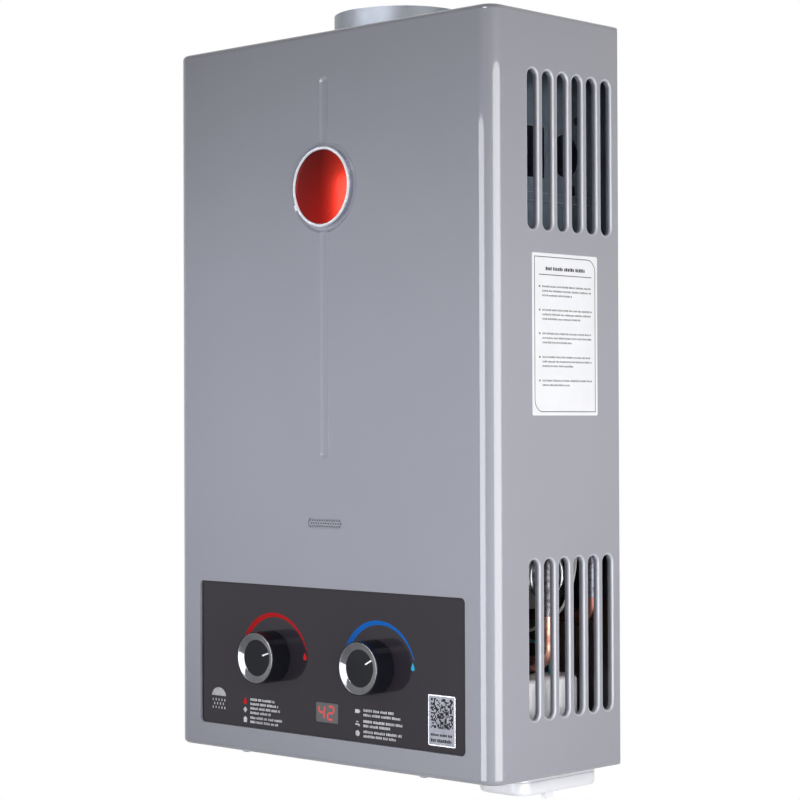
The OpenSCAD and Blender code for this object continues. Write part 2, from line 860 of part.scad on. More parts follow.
// Chrome bezel: a thin rim, a bevel that falls to the face, and the pointer bar
module bezel(x, turn) {
    revolved(x, knob_face_y, knob_z) polygon([
        [bezel_r - 0.1, 0.3], [bezel_r - 0.4, 0], [bezel_r - 1, 0], [bezel_in_r + 0.1, bevel_h],
        [bezel_in_r + 0.1, bevel_h + bezel_t], [bezel_r - 0.1, bevel_h + bezel_t]
    ]);
    translate([x, knob_face_y + bevel_h - pointer_h, knob_z]) rotate([0, -turn, 0])
        translate([pointer_in, 0, -pointer_w/2])
            cube([bezel_in_r + 1 - pointer_in, pointer_h, pointer_w]);
}

// Round rod with a flat on top along the part that the knob grips
module spindle_rod(x, r, grow) {
    difference() {
        rod_y(x, spindle_front_y - grow, knob_z, r, spindle_end_y - spindle_front_y + grow);
        translate([x - 2*r, spindle_front_y - cut - grow, knob_z + r - flat_cut])
            cube([4*r, panel_y - spindle_front_y + cut, 2*r]);
    }
}

module gas_knob() {
    color("#141417") on_wall() knob(-gas_x);
}

module gas_knob_bezel() {
    color("gainsboro") on_wall() bezel(-gas_x, gas_turn);
}

module gas_spindle() {
    color("silver") on_wall() spindle_rod(-gas_x, spindle_r, 0);
}

module water_knob() {
    color("#141417") on_wall() knob(water_x);
}

module water_knob_bezel() {
    color("gainsboro") on_wall() bezel(water_x, water_turn);
}

module water_spindle() {
    color("silver") on_wall() spindle_rod(water_x, spindle_r, 0);
}

// Flue and hood

spill_w = 34;
spill_h = 40;
spill_y = -75;
spill_z = hood_mid_z - 67;
peep_y = -33;
peep_z = hood_mid_z - 67.5;
pin_hole_r = 3.5;
pin_hole_y = -18.5;
pin_hole_z = hood_mid_z - 39;
slit_w = 5;
slit_h = 8;
slit_y = -23;
slit_z = hood_mid_z - 94;
band_z = hood_mid_z - 105;
band_h = 6.5;
band_t = 2.5;

module hood_outline(grow) {
    polygon([
        [-hood_x - grow, core_top - grow], [hood_x + grow, core_top - grow],
        [hood_x + grow, hood_mid_z], [slope_x + grow, hood_top + grow],
        [-slope_x - grow, hood_top + grow], [-hood_x - grow, hood_mid_z]
    ]);
}

module draught_hood() {
    color("#9fb0bd") on_wall() difference() {
        union() {
            facing(hood_front_y, hood_d) hood_outline(0);
            translate([-hood_x - band_t, hood_front_y - band_t, band_z])
                cube([2*(hood_x + band_t), hood_d + band_t, band_h]);
        }
        facing(hood_front_y + hood_t, hood_d - 2*hood_t) hood_outline(-hood_t);
        // the exchanger opens into the hood from below
        translate([-core_x + core_t, core_front_y + core_t, core_top - cut])
            cube([2*(core_x - core_t), core_d - 2*core_t, 2*cut + hood_t]);
        rod_z(0, -flue_back, hood_top - 2*hood_t, flue_r - hood_t, 3*hood_t);
        for (s = [-1, 1]) {
            translate([s*hood_x, spill_y, spill_z]) cube([8*band_t, spill_w, spill_h], center = true);
            rod_x(s*hood_x - 4*band_t, peep_y, peep_z, peep_r, 8*band_t);
            rod_x(s*hood_x - 4*band_t, pin_hole_y, pin_hole_z, pin_hole_r, 8*band_t);
            translate([s*hood_x, slit_y, slit_z]) cube([8*band_t, slit_w, slit_h], center = true);
        }
    }
}

module flue_collar() {
    length = case_h + flue_h - hood_top;
    inner = flue_r - hood_t;
    color("#b4bac2") on_wall() translate([0, -flue_back, hood_top]) rotate_extrude() {
        difference() {
            union() {
                translate([inner, 0]) square([hood_t, length]);
                translate([inner, 0]) square([hood_t + collar_lip, hood_t]);
                translate([flue_r - collar_bead_r/2, case_h - hood_top + collar_bead_z - 4])
                    circle(collar_bead_r);
            }
            translate([0, -cut]) square([inner, length + 2*cut]);
        }
    }
}

// Heat exchanger

function tube_y(i) = tube_mid_y + tube_row/2 - i*tube_pitch;

module exchanger_shell() {
    color("#c07a4a") on_wall() difference() {
        translate([-core_x, core_front_y, core_z]) cube([2*core_x, core_d, core_h]);
        translate([-core_x + core_t, core_front_y + core_t, core_z - cut])
            cube([2*(core_x - core_t), core_d - 2*core_t, core_h + 2*cut]);
        for (i = [0 : tube_n - 1])
            rod_x(-core_x - cut, tube_y(i), tube_z, tube_r + fin_gap, 2*(core_x + cut));
    }
}

module exchanger_fins() {
    span = 2*(core_x - core_t) - 12;
    color("#c98a5c") on_wall()
        for (k = [0 : fin_n - 1])
            translate([-span/2 + k*span/(fin_n - 1) - fin_t/2, 0, 0]) rotate([90, 0, 90])
                linear_extrude(height = fin_t) difference() {
                    translate([core_front_y + core_t + fin_clear, tube_z - fin_h/2])
                        square([core_d - 2*(core_t + fin_clear), fin_h]);
                    for (i = [0 : tube_n - 1])
                        translate([tube_y(i), tube_z]) circle(tube_r + fin_gap);
                }
}

// Serpentine of straight tubes joined by half-round bends beyond the shell
module serpentine(r, ends) {
    end_x = core_x + 4;
    for (i = [0 : tube_n - 1]) {
        open_end = i == 0 || i == tube_n - 1 ? ends : 0;
        rod_x(-end_x, tube_y(i), tube_z, r, 2*end_x + open_end);
    }
    for (i = [0 : tube_n - 2]) {
        side = i % 2 == 0 ? -1 : 1;
        translate([side*end_x, tube_y(i) - tube_pitch/2, tube_z]) rotate(side == 1 ? -90 : 90)
            rotate_extrude(angle = 180) translate([tube_pitch/2, 0]) circle(r);
    }
}

module exchanger_tubes() {
    color("#c07a4a") on_wall() difference() {
        serpentine(tube_r, 0);
        serpentine(tube_r - tube_t, cut);
    }
}

coil_route = [
    [feed_x, valve_y, feed_joint_z], [feed_x, valve_y, coil_z], [feed_x, coil_front_y, coil_z],
    [coil_left_x, coil_front_y, coil_z], [coil_left_x, coil_rear_y, coil_z],
    [riser_x, coil_rear_y, coil_z], [riser_x, coil_rear_y, tube_z],
    [riser_x, tube_y(0), tube_z], [core_x + 4, tube_y(0), tube_z]
];

module coil_pipe() {
    color("#a9abab") on_wall() pipe(coil_route, coil_bend, tube_r);
}

return_route = [
    [core_x + 4, tube_y(tube_n - 1), tube_z], [hot_back_x, tube_y(tube_n - 1), tube_z],
    [hot_back_x, -hot_back, tube_z], [hot_back_x, -hot_back, hot_joint_z]
];

module return_pipe() {
    color("#a9abab") on_wall() pipe(return_route, pipe_bend, tube_r);
}

// Burner

tray_front_y = -tray_back - tray_d;
side_hole_y = -34;
side_hole_z = 148;

module burner_tray() {
    color("#c9ccd0") on_wall() difference() {
        union() {
            difference() {
                translate([-tray_x, tray_front_y, tray_z]) cube([2*tray_x, tray_d, tray_h]);
                translate([-tray_x + tray_t, tray_front_y + tray_t, tray_z - cut])
                    cube([2*(tray_x - tray_t), tray_d - 2*tray_t, tray_h + cut - tray_t]);
                // throat under the heat exchanger
                translate([-core_x + core_t, core_front_y + core_t, tray_top - 2*tray_t])
                    cube([2*(core_x - core_t), core_d - 2*core_t, 3*tray_t]);
            }
        }
        for (s = [-1, 1])
            rod_x(s*tray_x - 4*hole_roll, side_hole_y, side_hole_z, peep_r + hole_roll, 8*hole_roll);
        rod_x(tray_x - 4*tray_t, electrode_y, electrode_z, electrode_r + 0.3, 8*tray_t);
    }
    // rolled rims of the side holes
    color("#c9ccd0") on_wall()
        for (s = [-1, 1])
            translate([s*tray_x, side_hole_y, side_hole_z]) rotate([0, s*90, 0])
                rotate_extrude() translate([peep_r + hole_roll, 0]) circle(hole_roll);
}

blade_top = tray_top - 8;
blade_t = 0.8;
blade_neck = 4;
mixer_r = 7;
head_w = 10;
head_h = 12;
port_n = 9;
port_w = 5;
port_end = 9;

// Cross-section of a blade: mixing tube, neck and port head, set in by the sheet for its inside
module blade_section(set_in) {
    translate([-blade_neck/2 + set_in, blade_z + set_in])
        square([blade_neck - 2*set_in, blade_top - blade_z - 2*set_in]);
    translate([0, blade_z + mixer_r]) circle(mixer_r - set_in);
    translate([-head_w/2 + set_in, blade_top - head_h + set_in])
        square([head_w - 2*set_in, head_h - 2*set_in]);
}

module burner_blade() {
    blade_d = tray_d - 2*tray_t;
    port_pitch = (blade_d - 2*port_end)/(port_n - 1);
    difference() {
        facing(tray_front_y + tray_t, blade_d) blade_section(0);
        facing(tray_front_y + tray_t + blade_t, blade_d - 2*blade_t) blade_section(blade_t);
        rod_y(0, tray_front_y, blade_z + mixer_r, mixer_r - 2*blade_t, tray_t + 2*blade_t);
        for (i = [0 : port_n - 1])
            translate([-port_w/2, tray_front_y + tray_t + port_end + i*port_pitch, blade_top - 2*blade_t])
                cube([port_w, 2.4, 3*blade_t]);
    }
}

module burner_blades() {
    color("#b8bcc2") on_wall()
        for (i = [0 : blade_n - 1])
            translate([(i - (blade_n - 1)/2)*blade_pitch, 0, 0]) burner_blade();
}

module chamber_brackets() {
    w = 26;
    h = 24;
    depth = tray_back - plate_t;
    out = tray_x - 50;
    color("#b9bdc2") on_wall()
        for (s = [-1, 1])
            translate([s*out - w/2, -tray_back, tray_z + h]) difference() {
                cube([w, depth, h]);
                translate([bracket_t, bracket_t, -cut])
                    cube([w - 2*bracket_t, depth - 2*bracket_t, h + 2*cut]);
            }
}

// Gas way

module gas_manifold() {
    half = blade_pitch*(blade_n - 1)/2 + 10;
    end_wall = 4;
    ear_in = 3;
    color("#b7babd") on_wall() difference() {
        union() {
            translate([-half, valve_y - manifold_w/2, manifold_z])
                cube([2*half, manifold_w, manifold_h]);
            // ears that carry the bar on the side walls of the tray
            for (s = [-1, 1])
                translate([s*(half - ear_in + tray_x)/2 - (tray_x - half + ear_in)/2,
                           valve_y - manifold_w/2, manifold_z + manifold_h - ear_in])
                    cube([tray_x - half + ear_in, manifold_w, tray_z - manifold_z - manifold_h + ear_in]);
        }
        rod_x(-half + end_wall, valve_y, manifold_z + manifold_h/2, 4, 2*(half - end_wall));
        for (i = [0 : blade_n - 1])
            rod_z((i - (blade_n - 1)/2)*blade_pitch, valve_y, manifold_z + manifold_h/2, 1.5, manifold_h);
        rod_z(gas_out_x, valve_y, manifold_z - cut, 4, manifold_h/2);
    }
}

module injectors() {
    seat_z = manifold_z + manifold_h;
    color("goldenrod") on_wall()
        for (i = [0 : blade_n - 1])
            translate([(i - (blade_n - 1)/2)*blade_pitch, valve_y, seat_z]) difference() {
                rotate_extrude() polygon([
                    [0, 0], [injector_r + 1, 0], [injector_r + 1, 3], [injector_r, 3],
                    [injector_r*0.6, blade_z - seat_z - 0.3], [0, blade_z - seat_z - 0.3]
                ]);
                translate([0, 0, -cut]) cylinder(r = 0.6, h = blade_z - seat_z + 2*cut);
            }
}

electrode_r = 3.2;
electrode_y = -26;
electrode_z = 182;

module spark_electrode() {
    color("ivory") on_wall() {
        rod_x(tray_x - 10, electrode_y, electrode_z, electrode_r, 22);
        rod_x(tray_x, electrode_y, electrode_z, electrode_r + 2, 4);
        rod_x(tray_x - 22, electrode_y, electrode_z, 1, 13);
    }
}

module spark_wire() {
    color("whitesmoke") on_wall() wire(spark_route, 48);
}

module overheat_switch() {
    y = tube_mid_y + 2;
    z = coil_z + 66;
    base_r = 9;
    base_h = 4;
    can_r = 7;
    can_h = 6;
    blade = [9, 0.8, 6];
    color("#30302f") on_wall() {
        rod_x(core_x, y, z, base_r, base_h);
        rod_x(core_x + base_h, y, z, can_r, can_h);
        for (s = [-1, 1])
            translate([core_x + base_h + can_h - 1, y + s*3 - blade[1]/2, z - blade[2]/2]) cube(blade);
    }
}

// Valve body shared by both sides: a barrel along X, a drop branch, and a boss for the spindle
module valve_body(x, from, to) {
    rod_x(from, valve_y, knob_z, valve_r, to - from);
    rod_z(x, valve_y, plate_top + seat_t, branch_r, knob_z - plate_top - seat_t);
    rod_y(x, boss_front_y, knob_z, boss_r, valve_y - boss_front_y);
}

module spindle_bore(x) {
    rod_y(x, boss_front_y - cut, knob_z, spindle_r + run_gap, spindle_hole_y - boss_front_y + cut);
}

module gas_valve() {
    left = -gas_x - valve_left;
    right = -gas_x + valve_right;
    color("#a8acb0") on_wall() difference() {
        union() {
            valve_body(-gas_x, left, right);
            rod_x(right - cut, valve_y, knob_z, arm_r, gas_arm_x - right + cut);
            rod_z(gas_out_x, valve_y, knob_z, outlet_r, manifold_z - knob_z);
        }
        spindle_bore(-gas_x);
        rod_x(gas_arm_x - rod_in - rod_travel - 1, valve_y, knob_z, rod_r + run_gap,
            rod_in + rod_travel + 1 + cut);
    }
}

// Threaded connection with a seat that rests on the bottom plate
module connection(x, top) {
    difference() {
        union() {
            rod_z(x, valve_y, -thread_l, thread_r, thread_l - neck_l);
            rod_z(x, valve_y, -neck_l, thread_r - 0.5, neck_l + plate_top);
            translate([x, valve_y, plate_top]) cylinder(r = seat_r, h = seat_t, $fn = 6);
            rod_z(x, valve_y, plate_top + seat_t - cut, branch_r - 2, top - plate_top - seat_t + cut);
        }
        rod_z(x, valve_y, -thread_l - cut, port_r, top + thread_l - 4);
    }
}

module gas_inlet() {
    color("#c9a24a") on_wall() connection(-gas_x, plate_top + seat_t);
}

module cold_inlet() {
    color("#c9a24a") on_wall() connection(water_x, plate_top + seat_t);
}

module hot_outlet() {
    color("#c9a24a") on_wall() connection(-hot_x, plate_top + seat_t + 8);
}

coil_r = 12;

// Magnet coil saddled on the gas valve barrel
module solenoid() {
    foot_z = knob_z + valve_r;
    coil_top = foot_z + 4;
    color("#3a4a3f") on_wall() {
        difference() {
            rod_z(solenoid_x, valve_y, foot_z - 7, coil_r, coil_top - foot_z + 7);
            rod_x(solenoid_x - 2*coil_r, valve_y, knob_z, valve_r, 4*coil_r);
        }
        rod_z(solenoid_x, valve_y, coil_top, coil_r - 4, manifold_z - coil_top - 2);
    }
}

module water_valve() {
    left = cap_x + skin_t;
    right = water_x + valve_right;
    rim_t = 6;
    boss = 9;
    bore_in = 20;
    color("#b98f45") on_wall() difference() {
        union() {
            rod_x(left, valve_y, knob_z, cap_r, rim_t);
            valve_body(water_x, left, right);
            rod_x(right - cut, valve_y, knob_z, boss, feed_port_x - right + cut);
        }
        spindle_bore(water_x);
        rod_x(water_x + bore_in, valve_y, knob_z, tube_r - tube_t, feed_port_x - water_x);
        drain_thread();
    }
}

module drain_thread() {
    rod_y(water_x + 12, valve_y + valve_r - plug_in, knob_z, plug_r, 2*plug_in);
}

// Front half of the diaphragm housing, hollow, with a gland for the push rod
module diaphragm_cap() {
    gland = 9;
    color("#b98f45") on_wall() translate([cap_x, valve_y, knob_z]) rotate([0, -90, 0])
        rotate_extrude() difference() {
            union() {
                square([cap_r, cap_wall]);
                square([cap_r - 5, cap_depth + cap_wall]);
                square([7, cap_depth + cap_wall + gland]);
            }
            translate([0, -cut]) square([cap_r - 5 - cap_wall, cap_depth + cut]);
            square([rod_r + run_gap, 4*cap_depth]);
        }
}

module diaphragm() {
    color("#26262a") on_wall() rod_x(cap_x, valve_y, knob_z, cap_r, skin_t);
}

// Push rod with its disc under the diaphragm and the peg that trips the switch lever
module push_rod() {
    disc_x = cap_x - rod_clear - rod_disc_t;
    rod_end = gas_arm_x - rod_in;
    color("silver") on_wall() {
        rod_x(disc_x, valve_y, knob_z, rod_disc_r, rod_disc_t);
        rod_x(rod_end, valve_y, knob_z, rod_r, disc_x - rod_end);
        rod_y(peg_x, lever_y + 0.3, knob_z, peg_r, valve_y - lever_y - 0.3);
    }
}

module micro_switch() {
    foot = lever_x - switch_w/2 - gas_arm_x + 5;
    mid_y = lever_y + lever_w/2;
    color("#1d1d20") on_wall() difference() {
        union() {
            translate([lever_x - switch_w/2, mid_y - switch_d/2, lever_z + 1.6])
                cube([switch_w, switch_d, switch_h]);
            // cheeks that hold the lever pin
            for (s = [-1, 1])
                translate([lever_x - 2.5, mid_y + s*(lever_w/2 + 0.8) - 0.5, lever_z - 2])
                    cube([5, 1, 4]);
            // bracket down to the gas valve arm
            translate([lever_x - switch_w/2 - foot, mid_y - switch_d/2, lever_z + 1.6])
                cube([foot, switch_d, bracket_t]);
            translate([lever_x - switch_w/2 - foot, mid_y - switch_d/2, knob_z + 4])
                cube([bracket_t, switch_d, lever_z + 1.6 - knob_z - 4]);
        }
        rod_y(lever_x, mid_y - switch_d, lever_z, lever_pin_r + run_gap, 2*switch_d);
        rod_x(gas_arm_x - foot, valve_y, knob_z, arm_r, foot);
    }
}

module switch_lever() {
    mid_y = lever_y + lever_w/2;
    color("gainsboro") on_wall() {
        rod_y(lever_x, mid_y - lever_w/2 - 1.2, lever_z, lever_pin_r, lever_w + 2.4);
        translate([lever_x - lever_t, lever_y, knob_z - 3]) cube([lever_t, lever_w, lever_z - knob_z + 3]);
    }
}

plug_r = 5;
plug_in = 2.5;

module drain_plug() {
    color("#2b2b2e") on_wall() {
        drain_thread();
        rod_y(water_x + 12, valve_y + valve_r + plug_in, knob_z, plug_r + 2, 2*plug_in);
    }
}

feed_route = [[feed_port_x, valve_y, knob_z], [feed_x, valve_y, knob_z], [feed_x, valve_y, feed_joint_z]];

// Sleeve brazed over the end of a pipe that points up
module pipe_sleeve(x, y, top) {
    difference() {
        rod_z(x, y, top - sleeve_l, tube_r + sleeve_t, sleeve_l);
        rod_z(x, y, top - sleeve_l - cut, tube_r - tube_t, sleeve_l + 2*cut);
    }
}

module feed_pipe() {
    color("#b87333") on_wall() {
        pipe(feed_route, feed_bend, tube_r);
        pipe_sleeve(feed_x, valve_y, feed_joint_z);
    }
}

hot_route = [
    [-hot_x, valve_y, plate_top + seat_t + 8], [-hot_x, valve_y, hot_run_z],
    [-hot_x, -hot_back, hot_run_z], [hot_back_x, -hot_back, hot_run_z],
    [hot_back_x, -hot_back, hot_joint_z]
];

module hot_pipe() {
    color("#b87333") on_wall() {
        pipe(hot_route, pipe_bend, tube_r);
    }
}

// Control box on the back plate, with fixing feet and a grooved face
module control_box() {
    rib_pitch = ctrl_w/(rib_n + 1.6);
    color("#d9d9d6") on_wall() translate([ctrl_x, -plate_t, ctrl_z]) difference() {
        union() {
            translate([-ctrl_w/2, -ctrl_d, 0]) cube([ctrl_w, ctrl_d, ctrl_h]);
            for (s = [-1, 1])
                translate([s*(ctrl_w + foot_w)/2 - foot_w/2, -foot_t, (ctrl_h - foot_h)/2])
                    cube([foot_w, foot_t, foot_h]);
        }
        for (s = [-1, 1])
            rod_y(s*(ctrl_w/2 + 0.55*foot_w), -foot_t - cut, ctrl_h/2, 2, foot_t + 2*cut);
        for (i = [0 : rib_n - 1])
            translate([(i - (rib_n - 1)/2)*rib_pitch - rib_w/2, -ctrl_d - cut, 10])
                cube([rib_w, 2 + cut, ctrl_h - 20]);
    }
}

// Battery box

lobe_ys = [box_y - cell_pitch/2, box_y + cell_pitch/2];

module lobes_outline(r) {
    for (y = lobe_ys)
        translate([box_x, y]) circle(r);
    translate([box_x, box_y]) square([1.3*r, cell_pitch], center = true);
}

module lid_outline(w, l, r) {
    translate([box_x, box_y]) rounded_rect(w, l, r);
}

module battery_box() {
    round_r = 4;
    color("white") on_wall() difference() {
        union() {
            for (y = lobe_ys)
                translate([box_x, y, 0]) rotate_extrude() {
                    square([lobe_r, box_top - round_r]);
                    square([lobe_r - round_r, box_top]);
                    translate([lobe_r - round_r, box_top - round_r]) intersection() {
                        circle(round_r);
                        square(round_r);
                    }
                }
            translate([box_x - 0.65*lobe_r, box_y - cell_pitch/2, 0])
                cube([1.3*lobe_r, cell_pitch, box_top - round_r]);
            translate([0, 0, -collar_h]) linear_extrude(height = collar_h + plate_z)
                lid_outline(lid_w, lid_l, lid_r);
            // ears for the lid hinge
            for (s = [-1, 1]) {
                y0 = box_y + s*(knuckle_l/2 + ear_gap + ear_l/2) - ear_l/2;
                rod_y(hinge_x, y0, hinge_z, knuckle_r, ear_l);
                translate([hinge_x - knuckle_r, y0, hinge_z])
                    cube([knuckle_r + 5, ear_l, -collar_h - hinge_z]);
                translate([hinge_x - knuckle_r, y0, -collar_h])
                    cube([knuckle_r + 8, ear_l, collar_h + plate_z]);
            }
        }
        for (y = lobe_ys)
            rod_z(box_x, y, -collar_h - cut, cell_r + cell_gap, collar_h + cut + box_top - box_t);
        rod_y(hinge_x, box_y - lid_l, hinge_z, hinge_r + 0.02, 2*lid_l);
        // room for the lid wall beside the ears
        translate([box_x - lid_w/2 - lid_gap, box_y - lid_l, hinge_z - 2*knuckle_r])
            cube([lid_w, 2*lid_l, 2*knuckle_r + lid_top - hinge_z + lid_gap]);
    }
}

// Corner post of the lid, rounded at the lower edge
module lid_post(r, edge) {
    rotate_extrude($fn = 40) {
        translate([0, edge]) square([r, lid_h + lid_top - edge]);
        square([r - edge, edge]);
        translate([r - edge, edge]) circle(edge, $fn = 24);
    }
}

module battery_lid() {
    color("white") on_wall() {
        difference() {
            translate([box_x, box_y, -lid_h]) hull()
                for (sx = [-1, 1], sy = [-1, 1])
                    translate([sx*(lid_w/2 - lid_r), sy*(lid_l/2 - lid_r), 0]) lid_post(lid_r, lid_edge);
            translate([0, 0, -lid_h + lid_t]) linear_extrude(height = lid_h)
                lid_outline(lid_w - 2*lid_t, lid_l - 2*lid_t, lid_r - lid_t);
        }
        for (y = lobe_ys)
            rod_z(box_x, y, -lid_h + lid_t - 0.5, pedestal_r, pedestal_h + 0.5);
        // thumb tab at the free edge
        translate([box_x + lid_w/2 - tab_in, box_y - tab_front, -lid_h - tab_h]) rotate([90, 0, 90])
            linear_extrude(height = tab_t) polygon([
                [0, tab_h + 1], [0, 1], [1, 0], [tab_w - 1, 0], [tab_w, 1], [tab_w, tab_h + 1]
            ]);
        difference() {
            union() {
                rod_y(hinge_x, box_y - knuckle_l/2, hinge_z, knuckle_r, knuckle_l);
                translate([hinge_x, box_y - knuckle_l/2, hinge_z - knuckle_r])
                    cube([box_x - lid_w/2 - hinge_x + lid_t/2, knuckle_l, knuckle_r + 1]);
            }
            rod_y(hinge_x, box_y - knuckle_l, hinge_z, hinge_r + run_gap, 2*knuckle_l);
        }
    }
}

module lid_pin() {
    length = knuckle_l + 2*ear_gap + 2*ear_l;
    color("silver") on_wall() rod_y(hinge_x, box_y - length/2, hinge_z, hinge_r, length);
}

nub_r = 4.75;
nub_h = 1.5;

// One cell stands nub up, the other nub down
module battery_cell(y, turned) {
    body = cell_l - nub_h;
    foot = turned ? cell_bottom + nub_h : cell_bottom;
    translate([box_x, y, foot]) rotate_extrude() polygon([
        [0, 0], [cell_r - 1, 0], [cell_r, 1], [cell_r, body - 1], [cell_r - 1, body], [0, body]
    ]);
    rod_z(box_x, y, turned ? cell_bottom : cell_top - nub_h, nub_r, nub_h);
}

module battery_cells() {
    color("#2d3a46") on_wall()
        for (i = [0, 1])
            battery_cell(lobe_ys[i], i == 1);
}

module battery_contact() {
    color("silver") on_wall()
        for (y = lobe_ys)
            rod_z(box_x, y, cell_top, cell_r - 3, contact_t);
}

spring_turns = 4;
spring_wire = 0.6;
spring_steps = 12;

module battery_springs() {
    plate = 0.6;
    low = pedestal_top + plate + spring_wire;
    high = cell_bottom - spring_wire - 0.3;
    count = spring_turns*spring_steps;
    color("silver") on_wall()
        for (y = lobe_ys) {
            rod_z(box_x, y, pedestal_top, pedestal_r - 2, plate);
            swept([
                for (i = [0 : count])
                    let (t = i/count, a = 360*spring_turns*t, r = 8 - 3.5*t)
                        [box_x + r*cos(a), y + r*sin(a), low + (high - low)*t - 0.3]
            ], spring_wire, 6, [0, 0, 1]);
        }
}

module battery_wire() {
    color("teal") on_wall() wire(battery_route, 40);
}

// Power switch

module switch_housing() {
    body_h = 15;
    color("#161618") on_wall() translate([switch_x, rocker_y, 0]) difference() {
        union() {
            translate([0, 0, plate_z - bezel_h]) linear_extrude(height = bezel_h)
                rounded_rect(bezel_w, bezel_d, 1.5);
            translate([-bezel_w/2 + 1, -bezel_d/2 + 1, plate_z])
                cube([bezel_w - 2, bezel_d - 2, body_h]);
            for (s = [-1, 0, 1])
                translate([s*6 - 0.4, -2.4, plate_z + body_h]) cube([0.8, 4.8, 8]);
        }
        translate([-rocker_w/2, -rocker_d/2, plate_z - bezel_h - cut])
            cube([rocker_w, rocker_d, bezel_h + cut + 8]);
        rod_y(0, -bezel_d, rocker_z, rocker_pin_r + run_gap, 2*bezel_d);
    }
}

module power_rocker() {
    half = rocker_w/2 - rocker_gap;
    d = rocker_d - 2*rocker_gap;
    color("#8e1b1b") on_wall() translate([switch_x, rocker_y, rocker_z]) rotate([0, -rocker_tilt, 0]) {
        translate([0, d/2, 0]) rotate([90, 0, 0]) linear_extrude(height = d) polygon([
            [-half + 0.5, -4.6], [0, -3.6], [half - 0.5, -4.6], [half - 1.2, 0.5], [3, 2.2],
            [-3, 2.2], [-half + 1.2, 0.5]
        ]);
        rod_y(0, -rocker_d/2 - 1, 0, rocker_pin_r, rocker_d + 2);
    }
}

front_cover();
back_plate();
bottom_plate();
cover_screws();
control_panel();
display_lens();
display_module();
flame_window();
badge_ring();
badge_dome();
gas_knob();
gas_knob_bezel();
gas_spindle();
water_knob();
water_knob_bezel();
water_spindle();
draught_hood();
flue_collar();
exchanger_shell();
exchanger_fins();
exchanger_tubes();
coil_pipe();
return_pipe();
burner_tray();
burner_blades();
chamber_brackets();
gas_manifold();
injectors();
spark_electrode();
spark_wire();
overheat_switch();
gas_valve();
gas_inlet();
solenoid();
water_valve();
diaphragm_cap();
diaphragm();
push_rod();
micro_switch();
switch_lever();
cold_inlet();
drain_plug();
feed_pipe();
hot_pipe();
hot_outlet();
control_box();
battery_box();
battery_lid();
lid_pin();
battery_cells();
battery_contact();
battery_springs();
battery_wire();
switch_housing();
power_rocker();
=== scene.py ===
"""Looks of a wall-hung gas water heater: finishes, printed trim, fittings and studio."""

import math
import random

import bmesh
import bpy
from bpy.props import FloatProperty, FloatVectorProperty, IntProperty, PointerProperty
from mathutils import Matrix, Vector


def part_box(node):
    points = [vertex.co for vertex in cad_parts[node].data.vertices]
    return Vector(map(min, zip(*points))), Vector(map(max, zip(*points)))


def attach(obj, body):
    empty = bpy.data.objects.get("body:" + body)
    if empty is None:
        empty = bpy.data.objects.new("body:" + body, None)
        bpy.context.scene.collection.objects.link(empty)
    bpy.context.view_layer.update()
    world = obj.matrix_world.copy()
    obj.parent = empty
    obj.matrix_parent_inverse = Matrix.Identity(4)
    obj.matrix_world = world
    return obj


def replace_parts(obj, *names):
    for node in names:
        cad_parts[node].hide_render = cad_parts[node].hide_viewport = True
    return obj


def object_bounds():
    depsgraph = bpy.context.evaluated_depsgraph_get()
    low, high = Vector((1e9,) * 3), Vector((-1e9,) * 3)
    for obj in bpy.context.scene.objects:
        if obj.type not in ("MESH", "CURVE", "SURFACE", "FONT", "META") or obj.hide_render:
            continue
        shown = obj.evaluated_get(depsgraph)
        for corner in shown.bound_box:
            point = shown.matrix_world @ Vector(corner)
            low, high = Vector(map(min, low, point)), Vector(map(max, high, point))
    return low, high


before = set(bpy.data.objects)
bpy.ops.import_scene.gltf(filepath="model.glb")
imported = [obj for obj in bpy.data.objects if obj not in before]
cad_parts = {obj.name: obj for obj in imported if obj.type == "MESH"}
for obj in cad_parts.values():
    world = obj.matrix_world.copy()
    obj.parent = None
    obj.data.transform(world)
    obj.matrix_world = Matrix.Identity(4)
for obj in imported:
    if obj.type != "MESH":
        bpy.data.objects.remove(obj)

bl_info = {
    "name": "Gas water heater",
    "version": (1, 0, 0),
    "blender": (4, 5, 0),
    "location": "View3D > Sidebar > Heater",
    "description": "Finishes, printed trim, fittings and studio of a wall-hung gas water heater",
    "category": "Object",
}

MM = 0.001
CAD_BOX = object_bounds()
COVER_LOW, COVER_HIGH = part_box("front_cover")
CASE_BOTTOM, CASE_TOP = COVER_LOW.z, COVER_HIGH.z
SIDE_FACE = COVER_HIGH.x
PANEL_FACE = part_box("control_panel")[0].y
LENS_LOW, LENS_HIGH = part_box("display_lens")
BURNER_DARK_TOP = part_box("burner_tray")[0].z + 14 * MM
INK_DEPTH = 0.05 * MM
INK_LIFT = 0.06 * MM
WHITE = (1, 1, 1, 1)

